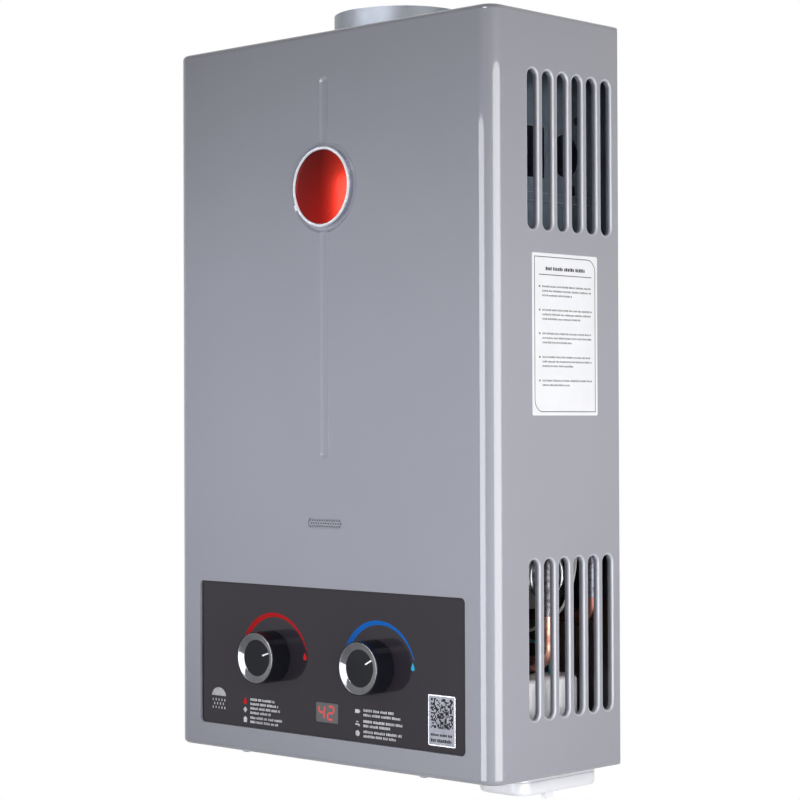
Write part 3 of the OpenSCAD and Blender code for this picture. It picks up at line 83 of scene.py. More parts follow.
# CAD nodes by finish
FINISHED_NODES = {
    "case_paint": ["front_cover", "flame_window"],
    "plated_sheet": ["bottom_plate", "chamber_brackets"],
    "back_sheet": ["back_plate"],
    "hood_sheet": ["draught_hood"],
    "collar_sheet": ["flue_collar"],
    "panel_gloss": ["control_panel"],
    "smoked_lens": ["display_lens"],
    "circuit_board": ["display_module"],
    "bright_chrome": ["gas_knob_bezel", "water_knob_bezel"],
    "satin_chrome": ["badge_ring"],
    "red_lacquer": ["badge_dome"],
    "knob_gloss": ["gas_knob", "water_knob"],
    "turned_steel": ["gas_spindle", "water_spindle", "push_rod", "switch_lever", "lid_pin",
                     "battery_contact", "battery_springs"],
    "burner_steel": ["burner_tray", "burner_blades", "gas_manifold"],
    "bare_copper": ["feed_pipe", "exchanger_tubes", "exchanger_fins"],
    # Painted shade: the hot pipe and the return pipe get darkened copies of the copper finishes.
    "aged_copper": ["hot_pipe"],
    "tinned_copper": ["coil_pipe", "exchanger_shell"],
    "aged_tin": ["return_pipe"],
    "cast_brass": ["water_valve", "diaphragm_cap", "injectors"],
    "die_casting": ["gas_valve"],
    "glazed_ceramic": ["spark_electrode"],
    "black_moulding": ["micro_switch", "overheat_switch", "switch_housing", "solenoid"],
    "soft_rubber": ["diaphragm", "drain_plug"],
    "white_moulding": ["battery_box", "battery_lid"],
    "grey_moulding": ["control_box"],
    "cell_jacket": ["battery_cells"],
    "teal_sleeve": ["battery_wire"],
    "pale_sleeve": ["spark_wire"],
    "red_moulding": ["power_rocker"],
}


# Settings that a user would change


def colour_setting(name, description, default):
    """A colour."""
    return FloatVectorProperty(
        name=name, description=description, subtype="COLOR", size=3, min=0, max=1, default=default)


def length_setting(name, description, millimetres):
    """A length, given in millimetres."""
    return FloatProperty(
        name=name, description=description, unit="LENGTH", default=millimetres * MM)


def angle_setting(name, description, degrees):
    """An angle, given in degrees."""
    return FloatProperty(
        name=name, description=description, subtype="ANGLE", default=math.radians(degrees))


def number_setting(name, description, default):
    """A plain number."""
    return FloatProperty(name=name, description=description, default=default)


class HeaterColours(bpy.types.PropertyGroup):
    """Colours of the paint, the inks and the trim."""

    paint: colour_setting("Case paint", "Grey of the painted steel cover", (0.318, 0.325, 0.378))
    hot: colour_setting("Hot ink", "Red of the arc round the left knob", (0.5, 0.006, 0.009))
    cold: colour_setting("Cold ink", "Blue of the arc round the right knob", (0.0, 0.135, 0.54))
    pale: colour_setting("Pale ink", "Silver grey of the panel legends", (0.95, 0.95, 0.97))
    digit: colour_setting("Lit digits", "Red of the lit display digits", (0.75, 0.03, 0.03))
    badge: colour_setting("Badge", "Red of the lacquered badge dome", (0.3, 0.007, 0.005))


class HeaterTrim(bpy.types.PropertyGroup):
    """Sizes of the printed trim, the sticker and the threads."""

    arc_radius: length_setting("Arc radius", "Outer radius of the printed arcs", 39.9)
    arc_wide: length_setting("Arc start", "Width of an arc at its left end", 6.2)
    arc_narrow: length_setting("Arc end", "Width of an arc at its right end", 0.5)
    digit_height: length_setting("Digit height", "Height of the display digits", 12.0)
    reading: IntProperty(
        name="Reading", description="Two-digit number on the display", min=10, max=99, default=42)
    sticker_width: length_setting("Sticker width", "Width of the sticker on the side", 78)
    sticker_height: length_setting("Sticker height", "Height of the sticker on the side", 123)
    thread_pitch: length_setting("Thread pitch", "Pitch of the half inch pipe threads", 1.814)
    thread_depth: length_setting("Thread depth", "Depth of the half inch pipe threads", 1.0)


class HeaterStudio(bpy.types.PropertyGroup):
    """Camera and lamps."""

    camera_place: FloatVectorProperty(
        name="Camera", description="Place of the camera",
        subtype="TRANSLATION", size=3, default=(1.26476, -1.38859, -0.02188))
    yaw: angle_setting("Yaw", "Turn of the camera to the left", 43.68)
    pitch: angle_setting("Pitch", "Tilt of the camera", -0.61)
    roll: angle_setting("Roll", "Roll of the camera", -0.2)
    focal_pixels: number_setting(
        "Focal length", "Focal length in pixels of an image 800 wide", 2234.2)
    key: number_setting("Lamps", "Strength of all the lamps", 0.78)
    shine: number_setting("Shine", "Brightness of the softboxes in reflections", 7.0)
    fill: number_setting("Fill", "Brightness of the even light from all round", 0.045)
    floor_drop: length_setting("Floor drop", "Distance from the lowest point to the floor", 280)


# Node trees


class Net:
    """Adds nodes to a node tree and joins them by socket name."""

    def __init__(self, tree):
        self.tree = tree

    def add(self, kind, inputs=None, **settings):
        """Add a node, set its options, and set or link its inputs."""
        node = self.tree.nodes.new(kind)
        for key, value in settings.items():
            setattr(node, key, value)
        self.fill(node, inputs or {})
        return node

    def fill(self, node, inputs):
        """Link or set several inputs."""
        for key, value in inputs.items():
            self.feed(node, key, value)

    def feed(self, node, key, value):
        """Link a socket to an input, or set the input's value."""
        if isinstance(value, bpy.types.NodeSocket):
            self.tree.links.new(value, node.inputs[key])
        else:
            node.inputs[key].default_value = value

    def math(self, operation, first, second):
        """Result of one arithmetic step."""
        return self.add("ShaderNodeMath", {0: first, 1: second}, operation=operation).outputs[0]

    def span(self, value, low, high, to_low=0.0, to_high=1.0):
        """A value mapped from one range to another and held inside it."""
        return self.add("ShaderNodeMapRange", {
            "Value": value, "From Min": low, "From Max": high, "To Min": to_low, "To Max": to_high,
        }).outputs[0]

    def blend(self, mask, first, second):
        """Two colours mixed by a mask."""
        return self.add("ShaderNodeMix", {0: mask, 6: rgba(first), 7: rgba(second)},
                        data_type="RGBA").outputs[2]

    def noise(self, vector, scale, detail=2.0, roughness=0.5):
        """Outputs of a noise texture."""
        return self.add("ShaderNodeTexNoise", {
            "Vector": vector, "Scale": scale, "Detail": detail, "Roughness": roughness}).outputs

    def place(self):
        """Coordinates that stay with the piece."""
        return self.add("ShaderNodeTexCoord").outputs["Object"]

    def where(self):
        """Those coordinates along each axis."""
        return self.add("ShaderNodeSeparateXYZ", {"Vector": self.place()}).outputs

    def facing(self, axis):
        """How far a surface faces along one axis of the frame."""
        normal = self.add("ShaderNodeNewGeometry").outputs["Normal"]
        return self.add("ShaderNodeSeparateXYZ", {"Vector": normal}).outputs[axis]


def rgba(value):
    """A colour with its fourth number, or a socket as it is."""
    if isinstance(value, bpy.types.NodeSocket):
        return value
    return tuple(value)[:3] + (1.0,)


def fresh_net(owner):
    """The emptied node tree of a material or a world."""
    owner.use_nodes = True
    owner.node_tree.nodes.clear()
    return Net(owner.node_tree)


def float_or_vector(vector):
    """Kind of a group's socket."""
    return "NodeSocketVector" if vector else "NodeSocketFloat"


def new_group(name, inputs, body):
    """Build a node group from its inputs and a body that returns its outputs."""
    tree = bpy.data.node_groups.new(name, "ShaderNodeTree")
    for label, value in inputs.items():
        tree.interface.new_socket(
            label, in_out="INPUT", socket_type=float_or_vector(isinstance(value, tuple)),
        ).default_value = value
    net = Net(tree)
    results = body(net, net.add("NodeGroupInput").outputs)
    for label, socket in results.items():
        tree.interface.new_socket(
            label, in_out="OUTPUT", socket_type=float_or_vector(socket.type == "VECTOR"))
    net.add("NodeGroupOutput", results)
    return tree


# Usual range of a noise, heights of the bumps, and samples of the softened edges
NOISE = (0.3, 0.7)
RIPPLE_TALL = 0.5 * MM
GRAIN_TALL = 0.3 * MM
SOFT_SAMPLES = 4


def ripple(net, given):
    """Fine uneven skin of paint, moulding or casting."""
    height = net.noise(net.place(), given["Scale"])["Fac"]
    soft = net.add("ShaderNodeBevel", {"Radius": given["Soft"]}, samples=SOFT_SAMPLES)
    bump = net.add("ShaderNodeBump", {
        "Strength": given["Depth"], "Distance": RIPPLE_TALL, "Height": height,
        "Normal": soft.outputs["Normal"]})
    return {"Normal": bump.outputs["Normal"], "Height": height}


def spangle(net, given):
    """Crystal patches of zinc plating."""
    warp = net.noise(net.place(), net.math("MULTIPLY", given["Scale"], 0.6))["Color"]
    moved = net.add("ShaderNodeMix", {0: 0.02, 4: net.place(), 5: warp}, data_type="VECTOR")
    cells = net.add("ShaderNodeTexVoronoi", {"Vector": moved.outputs[1], "Scale": given["Scale"]})
    tone = net.add("ShaderNodeSeparateColor", {"Color": cells.outputs["Color"]})
    return {"Shade": tone.outputs["Red"]}


def grain(net, given):
    """Drawn or brushed lines along one direction."""
    drawn = net.add("ShaderNodeVectorMath", {0: net.place(), 1: given["Stretch"]},
                    operation="MULTIPLY")
    shade = net.noise(drawn.outputs[0], 1.0, 4.0, 0.6)["Fac"]
    bump = net.add("ShaderNodeBump", {
        "Strength": given["Depth"], "Distance": GRAIN_TALL, "Height": shade})
    return {"Shade": shade, "Normal": bump.outputs["Normal"]}


def tarnish(net, given):
    """Uneven patches where a surface has dulled or stained."""
    noise = net.noise(net.place(), given["Scale"], 6.0, 0.65)["Fac"]
    return {"Mask": net.span(noise, given["Low"], given["High"])}


def edge(net, given):
    """Softened and rubbed edges."""
    soft = net.add("ShaderNodeBevel", {"Radius": given["Width"]}, samples=SOFT_SAMPLES)
    flat = net.add("ShaderNodeNewGeometry")
    facing = net.add("ShaderNodeVectorMath", {
        0: soft.outputs["Normal"], 1: flat.outputs["Normal"]}, operation="DOT_PRODUCT")
    return {"Mask": net.span(facing.outputs["Value"], 0.98, 0.8), "Normal": soft.outputs["Normal"]}


# Name, inputs and body of each shared effect
EFFECTS = {
    "ripple": ("Surface ripple", {"Scale": 400.0, "Depth": 0.1, "Soft": 0.0}, ripple),
    "spangle": ("Zinc spangle", {"Scale": 120.0}, spangle),
    "grain": ("Drawn grain", {"Stretch": (600.0, 600.0, 12.0), "Depth": 0.1}, grain),
    "tarnish": ("Tarnish", {"Scale": 60.0, "Low": 0.4, "High": 0.65}, tarnish),
    "edge": ("Rubbed edge", {"Width": 0.6 * MM}, edge),
}
GROUPS = {}


def effect(net, name, **values):
    """Place a shared node group in a material with its own values."""
    if name not in GROUPS:
        GROUPS[name] = new_group(*EFFECTS[name])
    node = net.add("ShaderNodeGroup", node_tree=GROUPS[name])
    for key, value in values.items():
        net.feed(node, key.capitalize(), value)
    return node.outputs


# Finishes


def chosen(name):
    """A colour from the settings."""
    return Vector(getattr(bpy.context.scene.heater_colours, name))


def start_material(name, base, roughness, metallic=0.0, **more):
    """A Principled material with its plain values, ready for its nodes."""
    material = bpy.data.materials.new(name)
    net = fresh_net(material)
    material.diffuse_color = rgba(base)
    shader = net.add("ShaderNodeBsdfPrincipled", {
        "Base Color": rgba(base), "Roughness": roughness, "Metallic": metallic})
    for key, value in more.items():
        net.feed(shader, key.replace("_", " ").title().replace("Ior", "IOR"), value)
    net.add("ShaderNodeOutputMaterial", {"Surface": shader.outputs["BSDF"]})
    return material, net, shader


# Where the painted shade and the painted highlight of the slots change: over the lip of a slot, and
# from the front and the ends of a slot bank
SLOT_LIP = (0.7 * MM, 2.4 * MM)
BANK_FRONT = (16 * MM, 18 * MM)
BANK_END = (20 * MM, 22 * MM)


def case_paint():
    """Gloss powder paint with a faint orange peel and rubbed edges, with painted shade under the
    case and inside the slot lips, and a painted highlight on the slot crests.
    """
    base = chosen("paint")
    material, net, shader = start_material(
        "case_paint", base, 0.42, coat_weight=1.0, coat_roughness=0.035, coat_ior=1.5,
        specular_ior_level=0.12)
    skin = effect(net, "ripple", scale=260.0, depth=0.035, soft=0.4 * MM)
    cloud = effect(net, "tarnish", scale=7.0, low=0.25, high=0.75)
    rub = effect(net, "edge", width=0.5 * MM)
    tone = net.blend(cloud["Mask"], base * 0.975, base * 1.025)
    rubbed = net.blend(net.math("MULTIPLY", rub["Mask"], 0.25), tone, base * 1.35)
    where = net.where()
    # Painted shade inside the slot banks: the paint darkens where the rolled lips sink below the
    # side face.
    depth = net.span(net.math("ABSOLUTE", where["X"], 0.0),
                     SIDE_FACE - SLOT_LIP[0], SIDE_FACE - SLOT_LIP[1])
    behind = net.span(where["Y"], COVER_LOW.y + BANK_FRONT[0], COVER_LOW.y + BANK_FRONT[1])
    between = net.span(net.math("ABSOLUTE", where["Z"], 0.0),
                       CASE_TOP - BANK_END[0], CASE_TOP - BANK_END[1])
    bank = net.math("MULTIPLY", behind, between)
    # Painted shade: faces that look down are darkened, towards a tenth of the paint colour.
    under = net.span(net.facing("Z"), -0.6, -0.92, 0.0, 0.7)
    inner = net.math("MULTIPLY", net.math("MULTIPLY", depth, bank), 0.55)
    shade = net.math("MAXIMUM", under, inner)
    # Painted highlight: the paint turns paler where the slot lips curve away from the side face.
    side = net.math("ABSOLUTE", net.facing("X"), 0.0)
    crest = net.math("MULTIPLY", net.span(side, 0.6, 0.8), net.span(side, 0.99, 0.96))
    lit = net.blend(net.math("MULTIPLY", crest, bank), rubbed, base * 1.45)
    net.fill(shader, {
        "Base Color": net.blend(shade, lit, base * 0.1),
        "Roughness": net.span(skin["Height"], *NOISE, 0.38, 0.46), "Normal": skin["Normal"]})
    return material


def zinc_sheet(name, base, roughness, scale, contrast, inside=None):
    """Zinc plated sheet with faint crystal patches and rubbed edges, and perhaps painted shade on
    its front face.
    """
    base = Vector(base)
    material, net, shader = start_material(name, base, roughness, 1.0)
    crystal = effect(net, "spangle", scale=scale)["Shade"]
    stain = effect(net, "tarnish", scale=35.0, low=0.42, high=0.8)
    rub = effect(net, "edge", width=0.6 * MM)
    tone = net.blend(crystal, base * (1 - contrast), base * (1 + contrast))
    stained = net.blend(net.math("MULTIPLY", stain["Mask"], 0.3), tone, base * 0.6)
    sheet = net.blend(net.math("MULTIPLY", rub["Mask"], 0.5), stained, (0.86, 0.87, 0.88))
    # Painted shade: the face that looks to the front, into the closed case, takes the darker colour
    # given.
    if inside:
        sheet = net.blend(net.span(net.facing("Y"), -0.3, -0.7), sheet, inside)
    net.fill(shader, {
        "Base Color": sheet,
        "Roughness": net.span(crystal, 0.0, 1.0, roughness - 0.02, roughness + 0.03),
        "Normal": effect(net, "ripple", scale=90.0, depth=0.12)["Normal"]})
    return material


def panel_gloss():
    """Near-black gloss moulding with faint wiping marks."""
    material, net, shader = start_material(
        "panel_gloss", (0.033, 0.0275, 0.036), 0.1, specular_ior_level=0.24)
    wipe = effect(net, "grain", stretch=(18.0, 18.0, 260.0), depth=0.0)
    net.fill(shader, {
        "Roughness": net.span(wipe["Shade"], *NOISE, 0.06, 0.1),
        "Normal": effect(net, "ripple", scale=140.0, depth=0.01)["Normal"]})
    return material


def smoked_lens():
    """Smoked window in front of the display."""
    material, net, shader = start_material(
        "smoked_lens", (0.042, 0.038, 0.041), 0.3, coat_weight=0.25, coat_roughness=0.08)
    mesh = effect(net, "ripple", scale=1800.0, depth=0.05)
    net.fill(shader, {
        "Base Color": net.blend(mesh["Height"], (0.044, 0.04, 0.042), (0.058, 0.054, 0.056)),
        "Normal": mesh["Normal"]})
    return material


def circuit_board():
    """Green board with pale pads."""
    green = (0.01, 0.12, 0.05)
    material, net, shader = start_material("circuit_board", green, 0.35)
    pads = net.add("ShaderNodeTexVoronoi", {"Vector": net.place(), "Scale": 320.0})
    spot = net.span(pads.outputs["Distance"], 0.16, 0.12)
    net.fill(shader, {
        "Base Color": net.blend(spot, green, (0.55, 0.56, 0.55)), "Metallic": spot})
    return material


def bright_chrome():
    """Dark bright chrome plating with a faint film."""
    base = (0.16, 0.163, 0.175)
    material, net, shader = start_material("bright_chrome", base, 0.07, 1.0)
    film = effect(net, "tarnish", scale=180.0, low=0.35, high=0.8)
    net.fill(shader, {
        "Base Color": net.blend(film["Mask"], base, (0.12, 0.122, 0.132)),
        "Roughness": net.span(film["Mask"], 0.0, 1.0, 0.06, 0.1),
        "Normal": effect(net, "edge", width=0.3 * MM)["Normal"]})
    return material


def red_lacquer():
    """Clear red lacquer over bright metal, with painted shade towards its top and a painted warm
    reflection towards its right.
    """
    base = chosen("badge")
    material, net, shader = start_material(
        "red_lacquer", base, 0.2, 1.0, coat_weight=0.06, coat_roughness=0.03)
    low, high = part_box("badge_dome")
    where = net.where()
    across = net.span(where["X"], 0.0, high.x)
    flake = effect(net, "ripple", scale=2600.0, depth=0.0)
    # Painted shade: the dome is darker towards its top.
    painted_shade_tone = net.blend(net.span(where["Z"], high.z, low.z), base * 0.22, base * 0.75)
    # Painted reflection: a warm flare grows towards the dome's right.
    tone = net.blend(across, painted_shade_tone, (1.2 * base.x, 3.2 * base.y, 2.2 * base.z))
    net.fill(shader, {
        "Base Color": net.blend(net.span(flake["Height"], *NOISE, 0.0, 0.2), tone, base),
        "Roughness": net.span(flake["Height"], *NOISE, 0.17, 0.23)})
    return material


def moulding(name, base, roughness, scale, depth, more=None):
    """Moulded plastic, rubber or glaze with its fine skin and softened edges."""
    base = Vector(base)
    material, net, shader = start_material(name, base, roughness, **(more or {}))
    skin = effect(net, "ripple", scale=scale, depth=depth)
    haze = effect(net, "tarnish", scale=22.0, low=0.35, high=0.75)
    rub = effect(net, "edge", width=0.5 * MM)
    tone = net.blend(haze["Mask"], base * 0.95, base * 1.03)
    worn = base * 0.7 + Vector((0.12, 0.12, 0.12))
    net.fill(shader, {
        "Base Color": net.blend(net.math("MULTIPLY", rub["Mask"], 0.2), tone, worn),
        "Roughness": net.span(haze["Mask"], 0.0, 1.0, roughness - 0.04, roughness + 0.05),
        "Normal": skin["Normal"]})
    return material


DARK_FADE = 3 * MM


def worked_metal(name, base, dull, roughness, stain, grain, depth, darken_below=None):
    """Drawn, turned or cast metal that has dulled in patches, perhaps darker below a height."""
    base, dull = Vector(base), Vector(dull)
    material, net, shader = start_material(name, base, roughness, 1.0)
    patch = effect(net, "tarnish", scale=stain[0], low=stain[1], high=stain[2])
    lines = effect(net, "grain", stretch=grain, depth=depth)
    tone = net.blend(patch["Mask"], base, dull)
    # The colour darkens below the given height.
    if darken_below:
        below = net.span(net.where()["Z"], darken_below + DARK_FADE, darken_below - DARK_FADE)
        tone = net.blend(below, tone, dull * 0.3)
    net.fill(shader, {
        "Base Color": net.blend(
            net.span(lines["Shade"], 0.35, 0.7, 0.0, 0.25), tone, base * 1.15),
        "Roughness": net.span(patch["Mask"], 0.0, 1.0, roughness, min(roughness + 0.25, 1.0)),
        "Normal": lines["Normal"]})
    return material


def cell_jacket():
    """Dark printed jacket with a copper-coloured shoulder."""
    base = (0.03, 0.045, 0.06)
    material, net, shader = start_material("cell_jacket", base, 0.3, 0.3)
    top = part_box("battery_cells")[1].z
    shoulder = net.span(net.where()["Z"], top - 17 * MM, top - 16.8 * MM)
    skin = effect(net, "ripple", scale=300.0, depth=0.03)
    net.fill(shader, {
        "Base Color": net.blend(shoulder, base, (0.6, 0.32, 0.16)),
        "Metallic": net.span(shoulder, 0.0, 1.0, 0.2, 0.9), "Normal": skin["Normal"]})
    return material


def printed_ink(name, colour, roughness=0.35, patch=900.0, thin=0.9):
    """A printed layer whose cover is thin in patches, in a colour or that of a setting."""
    colour = chosen(colour) if isinstance(colour, str) else Vector(colour)
    material, net, shader = start_material(name, colour, roughness, specular_ior_level=0.05)
    cover = effect(net, "tarnish", scale=patch, low=0.3, high=0.7)
    net.feed(shader, "Base Color", net.blend(cover["Mask"], colour * thin, colour))
    return material


def lit_digits():
    """Glowing segments behind the smoked window."""
    colour = chosen("digit")
    material, net, shader = start_material(
        "lit_digits", colour * 0.3, 0.5, emission_strength=0.62)
    glow = effect(net, "tarnish", scale=260.0, low=0.2, high=0.8)
    net.feed(shader, "Emission Color", net.blend(glow["Mask"], colour * 0.85, colour))
    return material


# Base, roughness, patch scale, patch contrast, and perhaps the colour of the painted shade on the
# front
ZINC_SHEETS = {
    "plated_sheet": ((0.6, 0.62, 0.64), 0.38, 130.0, 0.1),
    # Painted shade: the front of the back plate, deep inside the case, is darkened.
    "back_sheet": ((0.46, 0.475, 0.5), 0.4, 110.0, 0.07, (0.1, 0.096, 0.11)),
    "hood_sheet": ((0.125, 0.155, 0.195), 0.42, 150.0, 0.08),
    "collar_sheet": ((0.21, 0.225, 0.25), 0.42, 150.0, 0.05),
}
# Base, dull base, roughness, stain scale and limits, grain stretch, grain depth, and perhaps the
# height below which it is darker
WORKED_METALS = {
    "satin_chrome": (
        (0.6, 0.61, 0.66), (0.5, 0.51, 0.56), 0.16, (180, 0.4, 0.8), (300.0, 300.0, 300.0), 0.02),
    "turned_steel": (
        (0.6, 0.6, 0.6), (0.4, 0.4, 0.41), 0.28, (80, 0.45, 0.75), (900.0, 60.0, 900.0), 0.1),
    "burner_steel": (
        (0.62, 0.63, 0.65), (0.33, 0.33, 0.35), 0.24, (40, 0.42, 0.75), (500.0, 500.0, 14.0), 0.1,
        BURNER_DARK_TOP),
    "bare_copper": (
        (0.66, 0.36, 0.28), (0.2, 0.07, 0.045), 0.26, (60, 0.42, 0.7), (700.0, 700.0, 40.0), 0.12),
    # Painted shade: a darkened copy of bare copper for the pipe that lies in shadow.
    "aged_copper": (
        (0.17, 0.075, 0.06), (0.05, 0.02, 0.016), 0.34, (60, 0.42, 0.7), (700.0, 700.0, 40.0),
        0.12),
    "tinned_copper": (
        (0.17, 0.165, 0.185), (0.04, 0.037, 0.042), 0.32, (260, 0.4, 0.62), (260.0, 260.0, 160.0),
        0.5),
    # Painted shade: a darkened copy of tinned copper for the pipe that lies in shadow.
    "aged_tin": (
        (0.1, 0.1, 0.125), (0.03, 0.028, 0.036), 0.32, (260, 0.4, 0.62), (260.0, 260.0, 160.0),
        0.5),
    "cast_brass": (
        (0.72, 0.52, 0.24), (0.42, 0.29, 0.13), 0.34, (90, 0.42, 0.7), (420.0, 420.0, 420.0), 0.3),
    "turned_brass": (
        (0.8, 0.6, 0.28), (0.52, 0.37, 0.17), 0.24, (120, 0.45, 0.75), (60.0, 60.0, 2400.0), 0.08),
    "die_casting": (
        (0.5, 0.51, 0.52), (0.36, 0.37, 0.38), 0.45, (60, 0.4, 0.7), (520.0, 520.0, 520.0), 0.35),
    "silver_foil": (
        (0.165, 0.168, 0.19), (0.125, 0.127, 0.142), 0.3, (90, 0.45, 0.75), (30.0, 900.0, 900.0),
        0.04),
}
# Base, roughness, skin scale, skin depth, and perhaps other values of the shader
MOULDINGS = {
    "knob_gloss": ((0.01, 0.0105, 0.016), 0.16, 500.0, 0.01, {"specular_ior_level": 0.14}),
    "glazed_ceramic": ((0.82, 0.79, 0.7), 0.18, 200.0, 0.02),
    "black_moulding": ((0.016, 0.016, 0.018), 0.42, 900.0, 0.12),
    "soft_rubber": ((0.022, 0.022, 0.022), 0.7, 700.0, 0.15),
    "white_moulding": ((0.93, 0.94, 1.0), 0.4, 800.0, 0.05,
                       {"coat_weight": 0.4, "coat_ior": 1.5, "coat_roughness": 0.2}),
    "grey_moulding": ((0.6, 0.6, 0.58), 0.45, 900.0, 0.1),
    "teal_sleeve": ((0.004, 0.22, 0.32), 0.45, 500.0, 0.03),
    "pale_sleeve": ((0.72, 0.71, 0.67), 0.4, 500.0, 0.03),
    "red_moulding": ((0.42, 0.01, 0.012), 0.25, 700.0, 0.03),
    "sticker_paper": ((0.83, 0.845, 0.9), 0.42, 500.0, 0.02),
}
# Colour or the setting that gives it, and perhaps roughness, patch scale and cover of thin patches
PRINTED_INKS = {
    "hot_ink": ("hot",),
    "cold_ink": ("cold",),
    "hot_drop_ink": ((0.8, 0.01, 0.014),),
    "cold_drop_ink": ((0.04, 0.48, 0.8),),
    "pale_ink": ("pale", 0.3, 55.0, 0.42),
    "dark_ink": ((0.03, 0.03, 0.035), 0.45),
    "foil_ink": ((0.018, 0.018, 0.02), 0.4),
}
FINISH_TABLES = ((zinc_sheet, ZINC_SHEETS), (worked_metal, WORKED_METALS), (moulding, MOULDINGS),
                 (printed_ink, PRINTED_INKS))
SPECIAL_FINISHES = {maker.__name__: maker for maker in (
    case_paint, panel_gloss, smoked_lens, circuit_board, bright_chrome, red_lacquer, cell_jacket,
    lit_digits)}


def finish(name):
    """The material of that name, made when it is first asked for."""
    found = bpy.data.materials.get(name)
    if found:
        return found
    for maker, table in FINISH_TABLES:
        if name in table:
            return maker(name, *table[name])
    return SPECIAL_FINISHES[name]()


# Meshes


def on_panel(u, v, lift):
    """Point on the control panel, from right, up and lift."""
    return Vector((u, PANEL_FACE - lift, v))


def on_side(u, v, lift):
    """Point on the right side of the case, from depth, up and lift."""
    return Vector((SIDE_FACE + lift, u, v))


def up_from_base(height):
    """Height above the case bottom, in millimetres, as a place in the frame."""
    return CASE_BOTTOM + height * MM


def turn_points(centre, radius, start, stop, steps):
    """Points of an arc, with its angles in degrees."""
    for index in range(steps + 1):
        angle = math.radians(start + (stop - start) * index / steps)
        yield (centre[0] + radius * math.cos(angle), centre[1] + radius * math.sin(angle))


def rounded_outline(low, high, radii, steps=6):
    """Rectangle whose four corners, from the lower left round, have their own radii."""
    (x0, z0), (x1, z1) = low, high
    corners = ((x0, z0, 1, 1, 180), (x1, z0, -1, 1, 270), (x1, z1, -1, -1, 0), (x0, z1, 1, -1, 90))
    points = []
    for (x, z, sx, sz, start), radius in zip(corners, radii):
        centre = (x + sx * radius, z + sz * radius)
        points.extend(turn_points(centre, radius, start, start + 90, steps))
    return points


def bar_outline(x, z, width, height):
    """Plain rectangle from its lower left corner."""
    return [(x, z), (x + width, z), (x + width, z + height), (x, z + height)]


def circle(centre, radius, steps):
    """Points once round a circle."""
    return list(turn_points(centre, radius, 0, 360, steps))[:-1]


def loft(bm, rings):
    """Join each ring of corners to the next, where a ring of one corner is a point."""
    for ring, following in zip(rings, rings[1:]):
        count = max(len(ring), len(following))
        for index in range(count):
            after = (index + 1) % count
            corners = (ring[index % len(ring)], ring[after % len(ring)],
                       following[after % len(following)], following[index % len(following)])
            bm.faces.new(list(dict.fromkeys(corners)))


def prism(bm, outline, place, low, high):
    """Add a closed slab with this outline."""
    under, over = ([bm.verts.new(place(u, v, lift)) for u, v in outline] for lift in (low, high))
    bm.faces.new(over)
    bm.faces.new(under[::-1])
    loft(bm, [under, over])


def band(bm, outer, inner, place, low, high):
    """Add a closed frame between two outlines with the same number of points."""
    rings = [[bm.verts.new(place(u, v, lift)) for u, v in line]
             for line, lift in ((outer, low), (outer, high), (inner, high), (inner, low))]
    loft(bm, rings + rings[:1])


def hoop(bm, rows, centre, place, steps):
    """Add a closed ring from a loop of rows of radius and lift."""
    rings = [[bm.verts.new(place(u, v, lift)) for u, v in circle(centre, radius, steps)]
             for radius, lift in rows]
    loft(bm, rings + rings[:1])


def revolve(bm, rows, centre, steps, radius_at=None):
    """Add a closed surface turned about an upright axis, from rows of radius and height.

    Rows run from one end on the axis to the other, and radius_at may change a row's radius
    by height and angle."""
    rings = []
    for radius, height in rows:
        ring = []
        for index in range(steps if radius else 1):
            angle = math.tau * index / steps
            reach = radius_at(radius, height, angle) if radius_at else radius
            ring.append(bm.verts.new((
                centre[0] + reach * math.cos(angle), centre[1] + reach * math.sin(angle), height)))
        rings.append(ring)
    loft(bm, rings)


def put(name, data):
    """A new object in the scene."""
    item = bpy.data.objects.new(name, data)
    bpy.context.scene.collection.objects.link(item)
    return item


def put_mesh(name, bm, material):
    """A new object with a built mesh."""
    mesh = bpy.data.meshes.new(name)
    bm.to_mesh(mesh)
    bm.free()
    mesh.materials.append(material)
    return put(name, mesh)


def make_piece(name, bm, material, body="case", smooth=None):
    """Turn a built mesh into a piece that rides on a body."""
    bmesh.ops.recalc_face_normals(bm, faces=bm.faces)
    if smooth is not None:
        for face in bm.faces:
            face.smooth = True
        for edge in bm.edges:
            edge.smooth = edge.calc_face_angle(math.pi) < math.radians(smooth)
    piece = put_mesh(name, bm, finish(material))
    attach(piece, body)
    return piece


def slabs(name, outlines, place, material, low=-INK_DEPTH, high=INK_LIFT):
    """A piece made of flat slabs, such as a print or a sticker."""
    bm = bmesh.new()
    for outline in outlines:
        prism(bm, outline, place, low, high)
    return make_piece(name, bm, material)


# Blocks in a word, their widths and heights as shares of the line, and the space between words
WORD_BLOCKS = (3, 8)
BLOCK_WIDTHS = (0.4, 0.68)
BLOCK_HEIGHTS = (1.0, 1.0, 0.82)
WORD_SPACE = 0.5


def word_blocks(rng, left, right, base, height, gap=0.22):
    """Plain blocks in word-like groups along one line."""
    blocks = []
    x = left
    while x < right - height:
        for _ in range(rng.randint(*WORD_BLOCKS)):
            width = height * rng.uniform(*BLOCK_WIDTHS)
            if x + width > right:
                break
            blocks.append(bar_outline(x, base, width, height * rng.choice(BLOCK_HEIGHTS)))
            x += width + height * gap
        x += height * WORD_SPACE
    return blocks


# Pieces


class HEATER_OT_finishes(bpy.types.Operator):
    """Give every CAD node its finish"""

    bl_idname = "heater.finishes"
    bl_label = "Finish the solids"

    def execute(self, context):
        for name, nodes in FINISHED_NODES.items():
            for node in nodes:
                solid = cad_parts[node]
                solid.data.materials.clear()
                solid.data.materials.append(finish(name))
        return {"FINISHED"}


